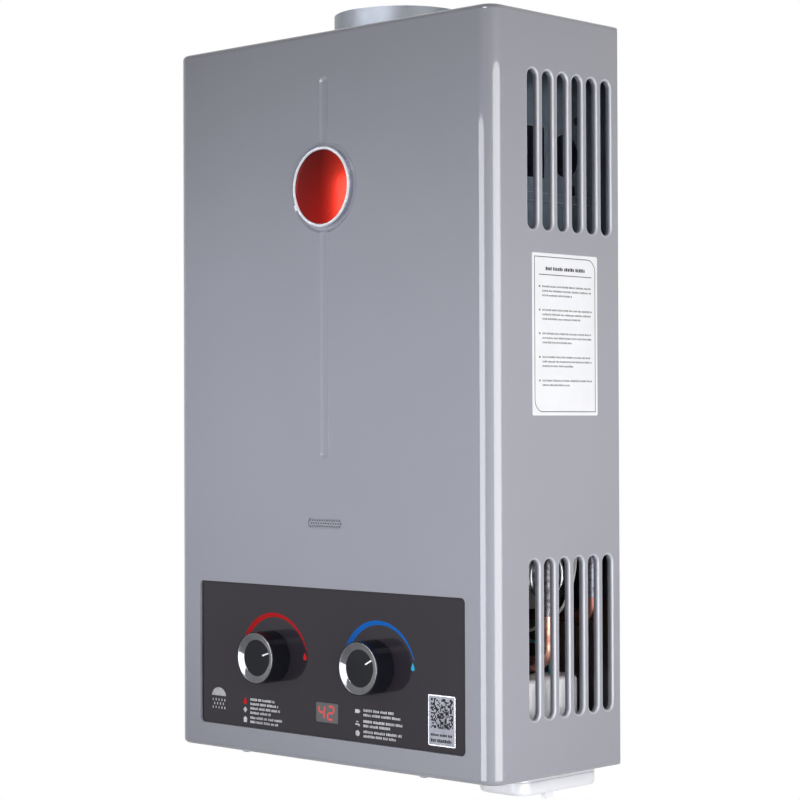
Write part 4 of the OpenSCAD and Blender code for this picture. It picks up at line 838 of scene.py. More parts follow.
class HEATER_OT_arcs(bpy.types.Operator):
    """Print the tapered arcs and the drops round the knobs"""

    bl_idname = "heater.arcs"
    bl_label = "Arcs and drops"

    ARC_STEPS = 48
    ARC_FROM, ARC_TO = 188.0, 17.0
    ARC_TAPER = 0.8
    # Ink, centre of the arc and centre of the drop, in millimetres
    ARCS = (
        ("hot", -61.0, 75.5, -25.0, 82.3),
        ("cold", 57.0, 76.0, 93.6, 82.5),
    )
    DROP_R = 1.9 * MM
    DROP_TALL = 6.0 * MM
    DROP_TIP = 0.25 * MM
    DROP_FROM, DROP_TO, DROP_STEPS = 155, 385, 20

    def arc(self, trim, centre):
        """Outline of an arc that narrows to the right."""
        outer, inner = [], []
        for index in range(self.ARC_STEPS + 1):
            along = index / self.ARC_STEPS
            angle = math.radians(self.ARC_FROM + (self.ARC_TO - self.ARC_FROM) * along)
            taper = (1 - along) ** self.ARC_TAPER
            width = trim.arc_narrow + (trim.arc_wide - trim.arc_narrow) * taper
            for line, radius in ((outer, trim.arc_radius), (inner, trim.arc_radius - width)):
                line.append((centre[0] + radius * math.cos(angle),
                             centre[1] + radius * math.sin(angle)))
        return outer + inner[::-1]

    def drop(self, centre):
        """Outline of a drop with its point up."""
        x, z = centre
        top = z + self.DROP_TALL / 2
        belly = turn_points((x, z - self.DROP_TALL / 2 + self.DROP_R), self.DROP_R,
                            self.DROP_FROM, self.DROP_TO, self.DROP_STEPS)
        return [*belly, (x + self.DROP_TIP, top), (x - self.DROP_TIP, top)]

    def execute(self, context):
        trim = context.scene.heater_trim
        for name, x, z, drop_x, drop_z in self.ARCS:
            arc = self.arc(trim, (x * MM, up_from_base(z)))
            slabs("print_arc_" + name, [arc], on_panel, name + "_ink")
            drop = self.drop((drop_x * MM, up_from_base(drop_z)))
            slabs("print_drop_" + name, [drop], on_panel, name + "_drop_ink")
        return {"FINISHED"}


class HEATER_OT_digits(bpy.types.Operator):
    """Light the two seven-segment digits of the display"""

    bl_idname = "heater.digits"
    bl_label = "Display digits"

    # Lit segments of each digit from 0 to 9
    SEGMENTS = ("abcdef", "bc", "abged", "abgcd", "fgbc", "afgcd", "afgedc", "abc", "abcdefg",
                "abcdfg")
    WIDE = 0.66
    LEFT_GAP, RIGHT_GAP = 1.0 * MM, 1.4 * MM
    SHIFT = 1.2 * MM
    STROKE = 1.75 * MM
    JOINT = 0.2 * MM
    SLANT = 0.1

    def segment(self, key, left, width, base, height):
        """Outline of one pointed segment before the slant."""
        half = self.STROKE / 2
        mid = height / 2
        rows = {"a": height - half, "g": mid, "d": half}
        if key in rows:
            z, inset = base + rows[key], half + self.JOINT
            x0, x1 = left + inset, left + width - inset
            return [(x0, z), (x0 + half, z - half), (x1 - half, z - half), (x1, z),
                    (x1 - half, z + half), (x0 + half, z + half)]
        x = left + (half if key in "ef" else width - half)
        z0 = base + (half if key in "ec" else mid) + self.JOINT
        z1 = base + (mid if key in "ec" else height - half) - self.JOINT
        return [(x, z0), (x + half, z0 + half), (x + half, z1 - half), (x, z1),
                (x - half, z1 - half), (x - half, z0 + half)]

    def execute(self, context):
        trim = context.scene.heater_trim
        height = trim.digit_height
        width = height * self.WIDE
        middle = (LENS_LOW + LENS_HIGH) / 2
        base = middle.z - height / 2
        outlines = []
        lefts = (-width - self.LEFT_GAP, self.RIGHT_GAP)
        for value, left in zip(divmod(trim.reading, 10), lefts):
            for key in self.SEGMENTS[value]:
                outline = self.segment(key, middle.x - self.SHIFT + left, width, base, height)
                outlines.append([(x + self.SLANT * (z - middle.z), z) for x, z in outline])
        slabs("display_digits", outlines, on_panel, "lit_digits")
        return {"FINISHED"}


class HEATER_OT_legends(bpy.types.Operator):
    """Print the pale signs and plain lines of the panel"""

    bl_idname = "heater.legends"
    bl_label = "Panel legends"

    LINE_TALL = 2.0 * MM
    # Height and length of each line, in millimetres
    LEFT_LINES = ((43.0, 30), (39.4, 34), (35.8, 36), (32.2, 25), (28.2, 38), (24.7, 33))
    RIGHT_LINES = ((45.2, 34), (41.6, 40), (36.6, 42), (33.1, 30), (28.6, 44), (25.2, 36))
    LEFT_X, RIGHT_X = -89.5, 40.5
    # Centre of each sign and the corners of its outlines from there, in millimetres
    FLAME = (-95.7, 41.3, (
        (0, 3.0), (1.2, 1.2), (1.9, -0.4), (1.5, -2.0), (0.5, -2.7), (-0.6, -2.7), (-1.5, -2.0),
        (-1.8, -0.6), (-1.2, 0.5), (-0.8, 1.6)))
    DIAMOND = (-95.7, 34.2, ((0, 2.6), (2.4, 0), (0, -2.6), (-2.4, 0)))
    HOUSE = (-95.7, 26.2, (
        (0, 2.7), (2.6, 0.4), (1.9, 0.4), (1.9, -2.3), (-1.9, -2.3), (-1.9, 0.4), (-2.6, 0.4)))
    CELL = (34, 44, ((-2.6, -1.4), (2.0, -1.4), (2.0, 1.4), (-2.6, 1.4)))
    CELL_CAP = (34, 44, ((2.2, -0.6), (2.8, -0.6), (2.8, 0.6), (2.2, 0.6)))
    TAP = (34, 34.2, (
        (-2.4, 0.2), (1.4, 0.2), (2.2, -0.6), (2.2, -1.8), (1.2, -1.8), (1.2, -0.9), (-2.4, -0.9)))
    TAP_BAR = (34, 34.2, ((-1.4, 1.2), (0.8, 1.2), (0.8, 2.0), (-1.4, 2.0)))
    DIAL_X, DIAL_Z, DIAL_R = 34, 26.8, 2.3
    DIAL_TURN, DIAL_STEPS = 345, 23
    # Shower head and its drops, in millimetres
    HEAD_X, HEAD_Z, HEAD_R, HEAD_SQUASH, HEAD_STEPS = -128.0, 43.0, 8.5, 0.8, 24
    DROP_ROWS, DROP_COLUMNS, DROP_PITCH = 3, 5, 3.6
    ROW_DROP, ROW_PITCH = 3.4, 3.2
    DROP_HALF_W, DROP_HALF_H, DROP_CORNER = 0.55, 1.1, 0.5
    SEED = 7

    def sign(self, x, z, corners):
        """Outline of a sign from its centre and corners."""
        return [(x * MM + u * MM, up_from_base(z) + v * MM) for u, v in corners]

    def dial(self):
        """Outline of the round sign."""
        return list(turn_points((self.DIAL_X * MM, up_from_base(self.DIAL_Z)), self.DIAL_R * MM,
                                0, self.DIAL_TURN, self.DIAL_STEPS))

    def shower(self):
        """Outlines of a shower head with falling drops, in the place at the left."""
        outlines = [[
            (self.HEAD_X * MM + u, up_from_base(self.HEAD_Z) + max(v, 0) * self.HEAD_SQUASH)
            for u, v in turn_points((0, 0), self.HEAD_R * MM, 0, 180, self.HEAD_STEPS)]]
        for row in range(self.DROP_ROWS):
            z = self.HEAD_Z - self.ROW_DROP - row * self.ROW_PITCH
            for column in range(self.DROP_COLUMNS - row % 2):
                x = self.HEAD_X + (column - 2 + (row % 2) / 2) * self.DROP_PITCH
                outlines.append(rounded_outline(
                    ((x - self.DROP_HALF_W) * MM, up_from_base(z - self.DROP_HALF_H)),
                    ((x + self.DROP_HALF_W) * MM, up_from_base(z + self.DROP_HALF_H)),
                    [self.DROP_CORNER * MM] * 4, 4))
        return outlines

    def execute(self, context):
        rng = random.Random(self.SEED)
        lines = []
        for left, rows in ((self.LEFT_X, self.LEFT_LINES), (self.RIGHT_X, self.RIGHT_LINES)):
            for z, length in rows:
                base = up_from_base(z) - self.LINE_TALL / 2
                lines.extend(word_blocks(
                    rng, left * MM, (left + length) * MM, base, self.LINE_TALL))
        pale = [self.sign(*sign) for sign in (
            self.DIAMOND, self.HOUSE, self.CELL, self.CELL_CAP, self.TAP, self.TAP_BAR)]
        for name, outlines, ink in (
                ("panel_sign_hot", [self.sign(*self.FLAME)], "hot_drop_ink"),
                ("panel_signs", pale + [self.dial()], "pale_ink"),
                ("panel_shower_sign", self.shower(), "pale_ink"),
                ("panel_lines", lines, "pale_ink")):
            slabs(name, outlines, on_panel, ink)
        return {"FINISHED"}


class HEATER_OT_foil_plate(bpy.types.Operator):
    """Fix the silver plate with its speckled square to the panel"""

    bl_idname = "heater.foil_plate"
    bl_label = "Silver plate"

    # Corners of the plate, in millimetres
    LOW = (109.8, 25.0)
    HIGH = (137.6, 63.4)
    CORNER, INNER_CORNER = 1.2 * MM, 0.5 * MM
    THICK = 0.3 * MM
    EDGE = 0.8 * MM
    CELLS = 21
    CELL = 1.08 * MM
    FILLED = 0.52
    TOP_GAP = 2.4 * MM
    # Height above the plate's foot and size of each line of blocks
    LINES = ((7.4 * MM, 1.8 * MM), (2.9 * MM, 2.4 * MM))
    SEED = 21

    def execute(self, context):
        low = (self.LOW[0] * MM, up_from_base(self.LOW[1]))
        high = (self.HIGH[0] * MM, up_from_base(self.HIGH[1]))
        outer = rounded_outline(low, high, [self.CORNER] * 4)
        inner = rounded_outline([place + self.EDGE for place in low],
                                [place - self.EDGE for place in high], [self.INNER_CORNER] * 4)
        slabs("foil_plate", [outer], on_panel, "silver_foil", high=self.THICK)
        bm = bmesh.new()
        band(bm, outer, inner, on_panel, 0, self.THICK + 2 * INK_LIFT)
        make_piece("foil_edge", bm, "satin_chrome")
        rng = random.Random(self.SEED)
        side = self.CELLS * self.CELL
        left = (low[0] + high[0] - side) / 2
        base = high[1] - self.TOP_GAP - side
        cells = []
        for row in range(self.CELLS):
            for column in range(self.CELLS):
                if rng.random() < self.FILLED:
                    cells.append(bar_outline(
                        left + column * self.CELL, base + row * self.CELL, self.CELL, self.CELL))
        for height, tall in self.LINES:
            cells.extend(word_blocks(rng, left, left + side, low[1] + height, tall))
        slabs("foil_speckle", cells, on_panel, "foil_ink",
              self.THICK - INK_DEPTH, self.THICK + INK_LIFT)
        return {"FINISHED"}


class HEATER_OT_sticker(bpy.types.Operator):
    """Put the white framed sticker on the right side"""

    bl_idname = "heater.sticker"
    bl_label = "Side sticker"

    # Lower front corner, in millimetres
    FRONT_EDGE, BASE = -106.0, 274.0
    THICK = 0.14 * MM
    CORNER, BIG_CORNER, SHARP_CORNER = 1.5 * MM, 12 * MM, 0.2 * MM
    INSET = 2.6 * MM
    RULE, RULE_AT = 0.55 * MM, 0.135
    LEFT_GAP, RIGHT_GAP = 8 * MM, 7 * MM
    TITLE_GAP, TITLE_AT, TITLE_TALL = 8 * MM, 0.105, 2.6 * MM
    LINE_TALL, LINE_PITCH, INDENT, LETTER_GAP = 1.35 * MM, 3.4 * MM, 4 * MM, 0.5
    SHORTER = (10, 30)
    # Share of the height above each group of lines, and how many lines it has
    GROUPS = ((0.2, 3), (0.345, 3), (0.49, 3), (0.635, 3), (0.78, 2))
    SEED = 3

    def frame(self, low, high, inset):
        """Outline of the frame at this inset, with two large corners."""
        radii = [max(radius - inset, self.SHARP_CORNER)
                 for radius in (self.BIG_CORNER, 0, self.BIG_CORNER, 0)]
        return rounded_outline((low[0] + inset, low[1] + inset), (high[0] - inset, high[1] - inset),
                               radii, 8)

    def execute(self, context):
        trim = context.scene.heater_trim
        low = (self.FRONT_EDGE * MM, up_from_base(self.BASE))
        high = (low[0] + trim.sticker_width, low[1] + trim.sticker_height)
        slabs("side_sticker", [rounded_outline(low, high, [self.CORNER] * 4)], on_side,
              "sticker_paper", high=self.THICK)
        ink = (on_side, self.THICK - INK_DEPTH, self.THICK + INK_LIFT)
        bm = bmesh.new()
        band(bm, self.frame(low, high, self.INSET),
             self.frame(low, high, self.INSET + self.RULE), *ink)
        left, right = low[0] + self.LEFT_GAP, high[0] - self.RIGHT_GAP
        tall = self.LINE_TALL
        rng = random.Random(self.SEED)
        blocks = word_blocks(rng, left + self.TITLE_GAP, right - self.TITLE_GAP,
                             high[1] - self.TITLE_AT * trim.sticker_height, self.TITLE_TALL)
        blocks.append(bar_outline(
            left, high[1] - self.RULE_AT * trim.sticker_height, right - left, self.RULE))
        for share, count in self.GROUPS:
            base = high[1] - share * trim.sticker_height - tall
            blocks.append(bar_outline(left, base, tall, tall))
            for row in range(count):
                stop = right if row < count - 1 else right - rng.uniform(*self.SHORTER) * MM
                blocks.extend(word_blocks(rng, left + self.INDENT, stop,
                                          base - row * self.LINE_PITCH, tall, self.LETTER_GAP))
        for outline in blocks:
            prism(bm, outline, *ink)
        make_piece("sticker_print", bm, "dark_ink")
        return {"FINISHED"}


class HEATER_OT_badge(bpy.types.Operator):
    """Set the smooth red dome in the badge ring"""

    bl_idname = "heater.badge"
    bl_label = "Badge dome"

    NODE = "badge_dome"
    RISE = 1.6 * MM
    ROWS = 24
    STEPS = 96

    def execute(self, context):
        low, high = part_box(self.NODE)
        radius = (high.x - low.x) / 2
        ball = (radius ** 2 + self.RISE ** 2) / (2 * self.RISE)
        tall = high.y - low.y
        rows = [(0, 0), (radius, 0)]
        for index in range(self.ROWS + 1):
            across = radius * (1 - index / self.ROWS)
            rows.append((across, tall - ball + math.sqrt(ball ** 2 - across ** 2)))
        bm = bmesh.new()
        revolve(bm, rows, (0, 0), self.STEPS)
        bm.transform(Matrix.Translation(((low.x + high.x) / 2, high.y, (low.z + high.z) / 2))
                     @ Matrix.Rotation(math.pi / 2, 4, "X"))
        piece = make_piece("badge_dome_smooth", bm, "red_lacquer", smooth=30)
        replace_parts(piece, self.NODE)
        return {"FINISHED"}


class HEATER_OT_bezels(bpy.types.Operator):
    """Fit the dished bright bezels with their pointers, and the dark faces inside them"""

    bl_idname = "heater.bezels"
    bl_label = "Knob bezels"

    # Node, body and pointer angle
    BEZELS = (("gas_knob_bezel", "gas_control", 18.0), ("water_knob_bezel", "water_control", 28.0))
    WIDTH = 5.7 * MM
    DISH = 1.9 * MM
    RIM = 0.85 * MM
    # Points of the rim, in from the outer radius and down from the front
    RIM_POINTS = ((0, 0.35 * MM), (0.12 * MM, 0.1 * MM), (0.35 * MM, 0), (0.6 * MM, 0))
    STEP, FOOT = 0.12 * MM, 0.2 * MM
    SAG = 0.15
    GAP, LAP, FACE_BACK = 0.1 * MM, 0.3 * MM, 0.5 * MM
    POINTER_IN = 7.5 * MM
    POINTER_W = 1.15 * MM
    POINTER_H = 0.4 * MM
    STEPS = 96
    CURVE = 8

    def profile(self, radius, front, back):
        """Loop of radius and lift: rim, shallow dish and straight back."""
        rows = [(radius, back)]
        rows += [(radius - inwards, front - down) for inwards, down in self.RIM_POINTS]
        for index in range(self.CURVE + 1):
            along = index / self.CURVE
            fall = (1 - self.SAG) * along + self.SAG * along ** 2
            rows.append((radius - self.RIM - (self.WIDTH - self.RIM) * along,
                         front - self.STEP - (self.DISH - self.STEP) * fall))
        inner = radius - self.WIDTH - self.STEP
        return rows + [(inner, front - self.DISH - self.FOOT), (inner, back)]

    def pointer(self, centre, angle, reach):
        """Outline of the bar from the face to the rim."""
        along = Vector((math.cos(angle), math.sin(angle)))
        half = Vector((-along.y, along.x)) * self.POINTER_W / 2
        start, stop = Vector(centre) + along * self.POINTER_IN, Vector(centre) + along * reach
        return [tuple(point) for point in (start - half, stop - half, stop + half, start + half)]

    def execute(self, context):
        for node, body, angle in self.BEZELS:
            low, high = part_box(node)
            centre = ((low.x + high.x) / 2, (low.z + high.z) / 2)
            radius = (high.x - low.x) / 2
            front, back = PANEL_FACE - low.y, PANEL_FACE - high.y + self.GAP
            face = front - self.DISH - self.GAP
            reach = radius - self.WIDTH + self.LAP
            bm = bmesh.new()
            hoop(bm, self.profile(radius, front, back), centre, on_panel, self.STEPS)
            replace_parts(make_piece(node + "_dished", bm, "bright_chrome", body, 30), node)
            bm = bmesh.new()
            prism(bm, self.pointer(centre, math.radians(angle), reach), on_panel,
                  face - self.GAP, face + self.POINTER_H)
            make_piece(node + "_pointer", bm, "satin_chrome", body)
            bm = bmesh.new()
            prism(bm, circle(centre, reach, self.STEPS), on_panel, back + self.FACE_BACK, face)
            make_piece(node + "_face", bm, "knob_gloss", body)
        return {"FINISHED"}


class HEATER_OT_slot_edges(bpy.types.Operator):
    """Carry the rolled edges of the side slots further into the case"""

    bl_idname = "heater.slot_edges"
    bl_label = "Slot edges"

    COUNT = 6
    PITCH = 17.6 * MM
    BACK = 16.2 * MM
    MIDDLE = 105 * MM
    HALF_W = 5.2 * MM
    HALF_L = 59.9 * MM
    SHEET = 0.75 * MM
    FROM, TO = 2.45 * MM, 4.2 * MM
    STEPS = 12

    def outline(self, y, z, grow):
        """Outline of a slot with round ends."""
        half = self.HALF_W + grow
        straight = self.HALF_L - self.HALF_W
        return (list(turn_points((y, z + straight), half, 0, 180, self.STEPS))
                + list(turn_points((y, z - straight), half, 180, 360, self.STEPS)))

    def execute(self, context):
        bm = bmesh.new()
        for side in (1, -1):
            def place(u, v, lift):
                return Vector((side * (SIDE_FACE + lift), u, v))

            for index in range(self.COUNT):
                for z in (CASE_BOTTOM + self.MIDDLE, CASE_TOP - self.MIDDLE):
                    y = -self.BACK - index * self.PITCH
                    band(bm, self.outline(y, z, self.SHEET), self.outline(y, z, 0), place,
                         -self.TO, -self.FROM)
        make_piece("slot_edges", bm, "case_paint", smooth=40)
        return {"FINISHED"}


class HEATER_OT_fittings(bpy.types.Operator):
    """Cut real threads on the three pipe connections"""

    bl_idname = "heater.fittings"
    bl_label = "Threaded connections"

    NODES = ("gas_inlet", "cold_inlet", "hot_outlet")
    STEPS = 48
    ROWS_PER_TURN = 8
    THREAD_R = 10.48 * MM
    THREAD_L = 14.4 * MM
    NECK_L = 1 * MM
    NECK_R = 9.98 * MM
    BORE_R = 6.5 * MM
    SEAT_LOW, SEAT_HIGH = 1.8 * MM, 6.8 * MM
    SEAT_R = 15 * MM
    BRANCH_R = 10 * MM
    EDGE, MOUTH = 0.8 * MM, 0.7 * MM
    # How steep the flanks of the thread are, and how flat its roots
    STEEP, FLAT = 1.4, 0.2

    def thread(self, bm, trim, centre):
        """Bore, thread and neck below the bottom plate."""
        low = CASE_BOTTOM - self.THREAD_L
        stop = CASE_BOTTOM - self.NECK_L

        def radius_at(radius, height, angle):
            if radius != self.THREAD_R:
                return radius
            turn = (height - low) / trim.thread_pitch - angle / math.tau
            wave = abs((turn % 1.0) * 2.0 - 1.0)
            run_in = min(1.0, (height - low) / trim.thread_pitch,
                         (stop - height) / trim.thread_pitch)
            crest = min(max(wave * self.STEEP - self.FLAT, 0.0), 1.0)
            return radius - trim.thread_depth * (1.0 - crest * max(run_in, 0.0))

        count = round(self.ROWS_PER_TURN * (stop - low) / trim.thread_pitch)
        rows = [(0, CASE_BOTTOM + self.SEAT_LOW), (self.BORE_R, CASE_BOTTOM + self.SEAT_LOW),
                (self.BORE_R, low + self.EDGE), (self.BORE_R + self.MOUTH, low)]
        rows += [(self.THREAD_R, low + (stop - low) * index / count) for index in range(count + 1)]
        rows += [(self.NECK_R, stop), (self.NECK_R, CASE_BOTTOM + self.SEAT_HIGH),
                 (0, CASE_BOTTOM + self.SEAT_HIGH)]
        revolve(bm, rows, centre, self.STEPS, radius_at)

    def seat(self, bm, centre, top):
        """Six-sided seat on the bottom plate, with turned corners, and the branch above it."""
        low, high = CASE_BOTTOM + self.SEAT_LOW, CASE_BOTTOM + self.SEAT_HIGH
        inner, half = self.SEAT_R - self.EDGE, self.EDGE / 2
        rows = [(0, low), (inner, low), (self.SEAT_R, low + half), (self.SEAT_R, high - half),
                (inner, high), (0, high)]
        revolve(bm, rows, centre, 6)
        if top > high + MM:
            revolve(bm, [(0, high), (self.BRANCH_R, high), (self.BRANCH_R, top), (0, top)],
                    centre, self.STEPS)

    def execute(self, context):
        trim = context.scene.heater_trim
        for node in self.NODES:
            low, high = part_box(node)
            centre = ((low.x + high.x) / 2, (low.y + high.y) / 2)
            bm = bmesh.new()
            self.thread(bm, trim, centre)
            self.seat(bm, centre, high.z)
            piece = make_piece(node + "_fitting", bm, "turned_brass", smooth=40)
            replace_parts(piece, node)
        return {"FINISHED"}


class HEATER_OT_screws(bpy.types.Operator):
    """Fit cross-recessed screws that hold the cover"""

    bl_idname = "heater.screws"
    bl_label = "Cover screws"

    NODE = "cover_screws"
    HEAD_R = 4.0 * MM
    CROWN_R = 2.6 * MM
    HEAD_H = 1.3 * MM
    SHANK_R = 2.0 * MM
    SHANK_L = 6.0 * MM
    ARM = 2.0 * MM
    ARM_HALF = 0.42 * MM
    RECESS, TAPER = 1.0 * MM, 0.8
    # Shares of the head's radius and height at its round shoulder
    SHOULDER = ((1.0, 0.45), (0.86, 0.8))
    STEPS = 32

    def cross(self):
        """Outline of the cross recess."""
        a, h = self.ARM, self.ARM_HALF
        return [(a, -h), (a, h), (h, h), (h, a), (-h, a), (-h, h), (-a, h), (-a, -h), (-h, -h),
                (-h, -a), (h, -a), (h, -h)]

    def screw(self, bm, place, up):
        """One screw with its head towards up or down."""
        def ring(points, height):
            return [bm.verts.new(place + Vector((u, v, up * height))) for u, v in points]

        profile = [(self.SHANK_R, -self.SHANK_L), (self.SHANK_R, 0), (self.HEAD_R, 0)]
        profile += [(wide * self.HEAD_R, tall * self.HEAD_H) for wide, tall in self.SHOULDER]
        profile.append((self.CROWN_R, self.HEAD_H))
        rings = [ring(circle((0, 0), radius, self.STEPS), height) for radius, height in profile]
        loft(bm, rings)
        bm.faces.new(rings[0])
        mouth = ring(self.cross(), self.HEAD_H)
        floor = ring([(u * self.TAPER, v * self.TAPER) for u, v in self.cross()],
                     self.HEAD_H - self.RECESS)
        loft(bm, [mouth, floor])
        bm.faces.new(floor)
        edges = [bm.edges.get((line[index], line[(index + 1) % len(line)]))
                 for line in (rings[-1], mouth) for index in range(len(line))]
        bmesh.ops.triangle_fill(bm, edges=edges, use_beauty=True)

    def execute(self, context):
        low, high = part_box(self.NODE)
        bm = bmesh.new()
        for x in (low.x + self.HEAD_R, high.x - self.HEAD_R):
            self.screw(bm, Vector((x, low.y + self.HEAD_R, CASE_BOTTOM)), -1)
            self.screw(bm, Vector((x, high.y - self.HEAD_R, CASE_TOP)), 1)
        piece = make_piece("cross_screws", bm, "hood_sheet", smooth=35)
        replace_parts(piece, self.NODE)
        return {"FINISHED"}


# Studio


class HEATER_OT_stage(bpy.types.Operator):
    """Set up the camera, the softboxes, the floor and the white surroundings"""

    bl_idname = "heater.stage"
    bl_label = "Studio"

    SENSOR = 36.0
    IMAGE_WIDTH = 800.0
    FLOOR_R, FLOOR_SIDES = 1.5, 96
    FLOOR_TONE, FLOOR_GLOW, FADE_FROM = 0.9, 0.42, 0.45
    CORNER = Vector((SIDE_FACE, COVER_LOW.y, 0))
    OVERHEAD = Vector((0, -COVER_LOW.y / 3, CASE_TOP))
    # Name, azimuth from the front or None for overhead, distance, width, height, rise of the
    # middle, brightness, tint
    LAMPS = (
        ("left_key", -32.4, 0.35, 0.61, 0.44, -0.026, 1.26, (0.95, 0.98, 1.06)),
        ("camera_key", 52.9, 0.69, 0.73, 0.63, -0.18, 4.42, (1.0, 1.0, 1.0)),
        ("side_key", 115.7, 0.53, 0.78, 0.345, 0.079, 2.66, (1.04, 1.0, 0.93)),
        ("left_rim", -100.0, 1.2, 0.6, 1.0, 0.0, 3.2, (1.0, 1.0, 1.0)),
        ("rear_rim", -165.0, 1.3, 0.9, 1.0, 0.2, 2.2, (1.0, 1.0, 1.0)),
        ("low_rim", 160.0, 1.0, 0.6, 0.6, -0.5, 1.2, (1.0, 1.0, 1.0)),
        ("top_key", None, 0.6, 0.32, 0.28, 0.0, 8.0, (1.0, 1.0, 1.0)),
    )
    SHINES = (
        ("front_softbox", -20.5, 3.0, 2.13, 1.47, -0.117, 1.0, (0.97, 0.98, 1.04)),
        ("side_softbox", 84.7, 0.45, 0.44, 0.72, -0.04, 1.0, (1.0, 0.99, 0.98)),
        ("high_softbox", 8.0, 1.2, 0.5, 0.5, 0.95, 2.0, (0.98, 0.98, 1.03)),
        ("rear_softbox", -150.0, 1.2, 0.5, 1.0, 0.1, 0.16, (1.0, 1.0, 1.0)),
    )

    def camera(self, studio):
        """Camera at the photograph's place and angle."""
        turn = (Matrix.Rotation(studio.roll, 3, "Z") @ Matrix.Rotation(studio.pitch, 3, "X")
                @ Matrix.Rotation(studio.yaw, 3, "Y"))
        right, down, ahead = (Vector((row[0], row[2], -row[1])) for row in turn)
        matrix = Matrix((right, -down, -ahead)).transposed().to_4x4()
        matrix.translation = studio.camera_place
        data = bpy.data.cameras.new("photo_camera")
        data.sensor_width = self.SENSOR
        data.lens = studio.focal_pixels / self.IMAGE_WIDTH * self.SENSOR
        camera = put("photo_camera", data)
        camera.matrix_world = matrix
        bpy.context.scene.camera = camera

    def softbox(self, name, azimuth, distance, width, height, rise, brightness, tint, shine):
        """Lamp aimed at the front corner or down on the top, which lights or is reflected."""
        if azimuth is None:
            aim, out = self.OVERHEAD, Vector((0, 0, 1))
        else:
            angle = math.radians(azimuth)
            aim, out = self.CORNER, Vector((math.sin(angle), -math.cos(angle), 0))
        data = bpy.data.lights.new(name, "AREA")
        data.shape = "RECTANGLE"
        data.size, data.size_y = width, height
        data.energy = brightness * math.pi * width * height
        data.color = tint
        lamp = put(name, data)
        lamp.matrix_world = (Matrix.Translation(aim + out * distance + Vector((0, 0, rise)))
                             @ out.to_track_quat("Z", "Y").to_matrix().to_4x4())
        lamp.visible_camera = False
        lamp.visible_glossy = shine
        lamp.visible_diffuse = not shine

    def seen_directly(self, net):
        """One for rays that show the surroundings, zero for rays that light the object."""
        path = net.add("ShaderNodeLightPath").outputs
        shown = net.math("MAXIMUM", path["Is Camera Ray"], path["Is Glossy Ray"])
        return net.math("MAXIMUM", shown, path["Is Transmission Ray"])

    def surroundings(self, studio):
        """White where it is seen, and an even fill where it lights."""
        world = bpy.data.worlds.new("white_studio")
        net = fresh_net(world)
        white = net.add("ShaderNodeBackground", {"Color": WHITE, "Strength": 1.0})
        fill = net.add("ShaderNodeBackground", {"Color": WHITE, "Strength": studio.fill})
        mix = net.add("ShaderNodeMixShader", {
            0: self.seen_directly(net), 1: fill.outputs[0], 2: white.outputs[0]})
        net.add("ShaderNodeOutputWorld", {"Surface": mix.outputs[0]})
        bpy.context.scene.world = world

    def floor_paper(self):
        """Pale paper that fades out at its rim and hides nothing from below."""
        material = bpy.data.materials.new("floor_paper")
        net = fresh_net(material)
        paper = net.add("ShaderNodeBsdfDiffuse", {"Color": rgba([self.FLOOR_TONE] * 3)})
        glow = net.add("ShaderNodeEmission", {
            "Color": WHITE,
            "Strength": net.math("MULTIPLY", self.seen_directly(net), self.FLOOR_GLOW)})
        both = net.add("ShaderNodeAddShader", {0: paper.outputs[0], 1: glow.outputs[0]})
        reach = net.add("ShaderNodeVectorMath", {0: net.place()}, operation="LENGTH")
        below = net.add("ShaderNodeNewGeometry").outputs["Backfacing"]
        rim = net.span(reach.outputs["Value"], self.FADE_FROM * self.FLOOR_R, self.FLOOR_R)
        fade = net.math("MAXIMUM", rim, below)
        clear = net.add("ShaderNodeBsdfTransparent")
        mix = net.add("ShaderNodeMixShader", {0: fade, 1: both.outputs[0], 2: clear.outputs[0]})
        net.add("ShaderNodeOutputMaterial", {"Surface": mix.outputs[0]})
        return material

    def floor(self, studio):
        """Round sheet of pale paper below the heater."""
        bm = bmesh.new()
        bmesh.ops.create_circle(bm, cap_ends=True, segments=self.FLOOR_SIDES, radius=self.FLOOR_R)
        floor = put_mesh("studio_floor", bm, self.floor_paper())
        floor.location = (0, 0, CAD_BOX[0].z - studio.floor_drop)

    def execute(self, context):
        studio = context.scene.heater_studio
        self.camera(studio)
        for lamps, level, shine in (
                (self.LAMPS, studio.key, False), (self.SHINES, studio.shine, True)):
            for *shape, brightness, tint in lamps:
                self.softbox(*shape, brightness * level, tint, shine)
        self.surroundings(studio)
        self.floor(studio)
        context.scene.view_settings.view_transform = "Standard"
        return {"FINISHED"}


OPERATORS = (
    HEATER_OT_stage, HEATER_OT_finishes, HEATER_OT_arcs, HEATER_OT_digits, HEATER_OT_legends,
    HEATER_OT_foil_plate, HEATER_OT_sticker, HEATER_OT_badge, HEATER_OT_bezels,
    HEATER_OT_slot_edges, HEATER_OT_fittings, HEATER_OT_screws,
)


class HEATER_PT_panel(bpy.types.Panel):
    """Lists the heater's settings and pieces"""

    bl_idname = "HEATER_PT_panel"
    bl_label = "Gas water heater"
    bl_space_type = "VIEW_3D"
    bl_region_type = "UI"
    bl_category = "Heater"

    def draw(self, context):
        for group in (context.scene.heater_colours, context.scene.heater_trim,
                      context.scene.heater_studio):
            box = self.layout.box()
            for name in group.__annotations__:
                box.prop(group, name)
        for operator in OPERATORS:
            self.layout.operator(operator.bl_idname)


CLASSES = (HeaterColours, HeaterTrim, HeaterStudio) + OPERATORS + (HEATER_PT_panel,)


def register():
    """Register the classes and hang their settings on the scene."""
    for item in CLASSES:
        bpy.utils.register_class(item)
    bpy.types.Scene.heater_colours = PointerProperty(type=HeaterColours)
    bpy.types.Scene.heater_trim = PointerProperty(type=HeaterTrim)
    bpy.types.Scene.heater_studio = PointerProperty(type=HeaterStudio)


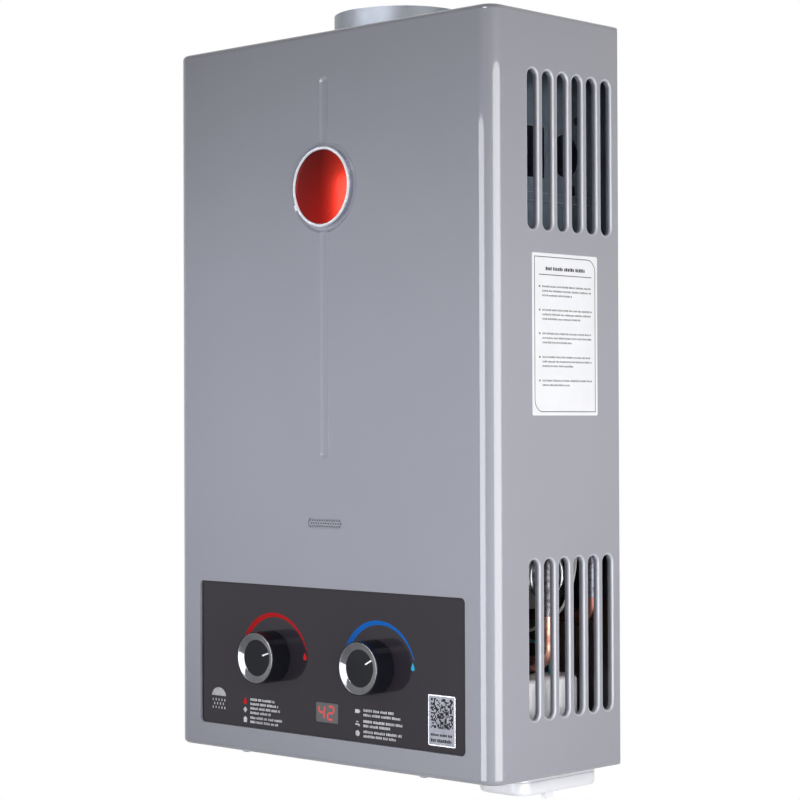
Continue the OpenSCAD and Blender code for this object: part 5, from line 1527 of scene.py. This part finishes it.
def unregister():
    """Take the settings and the classes away again."""
    for name in ("heater_colours", "heater_trim", "heater_studio"):
        delattr(bpy.types.Scene, name)
    for item in reversed(CLASSES):
        bpy.utils.unregister_class(item)


def main():
    """Build the studio and every piece."""
    register()
    for operator in OPERATORS:
        getattr(bpy.ops.heater, operator.bl_idname.partition(".")[2])()


if __name__ == "__main__":
    main()
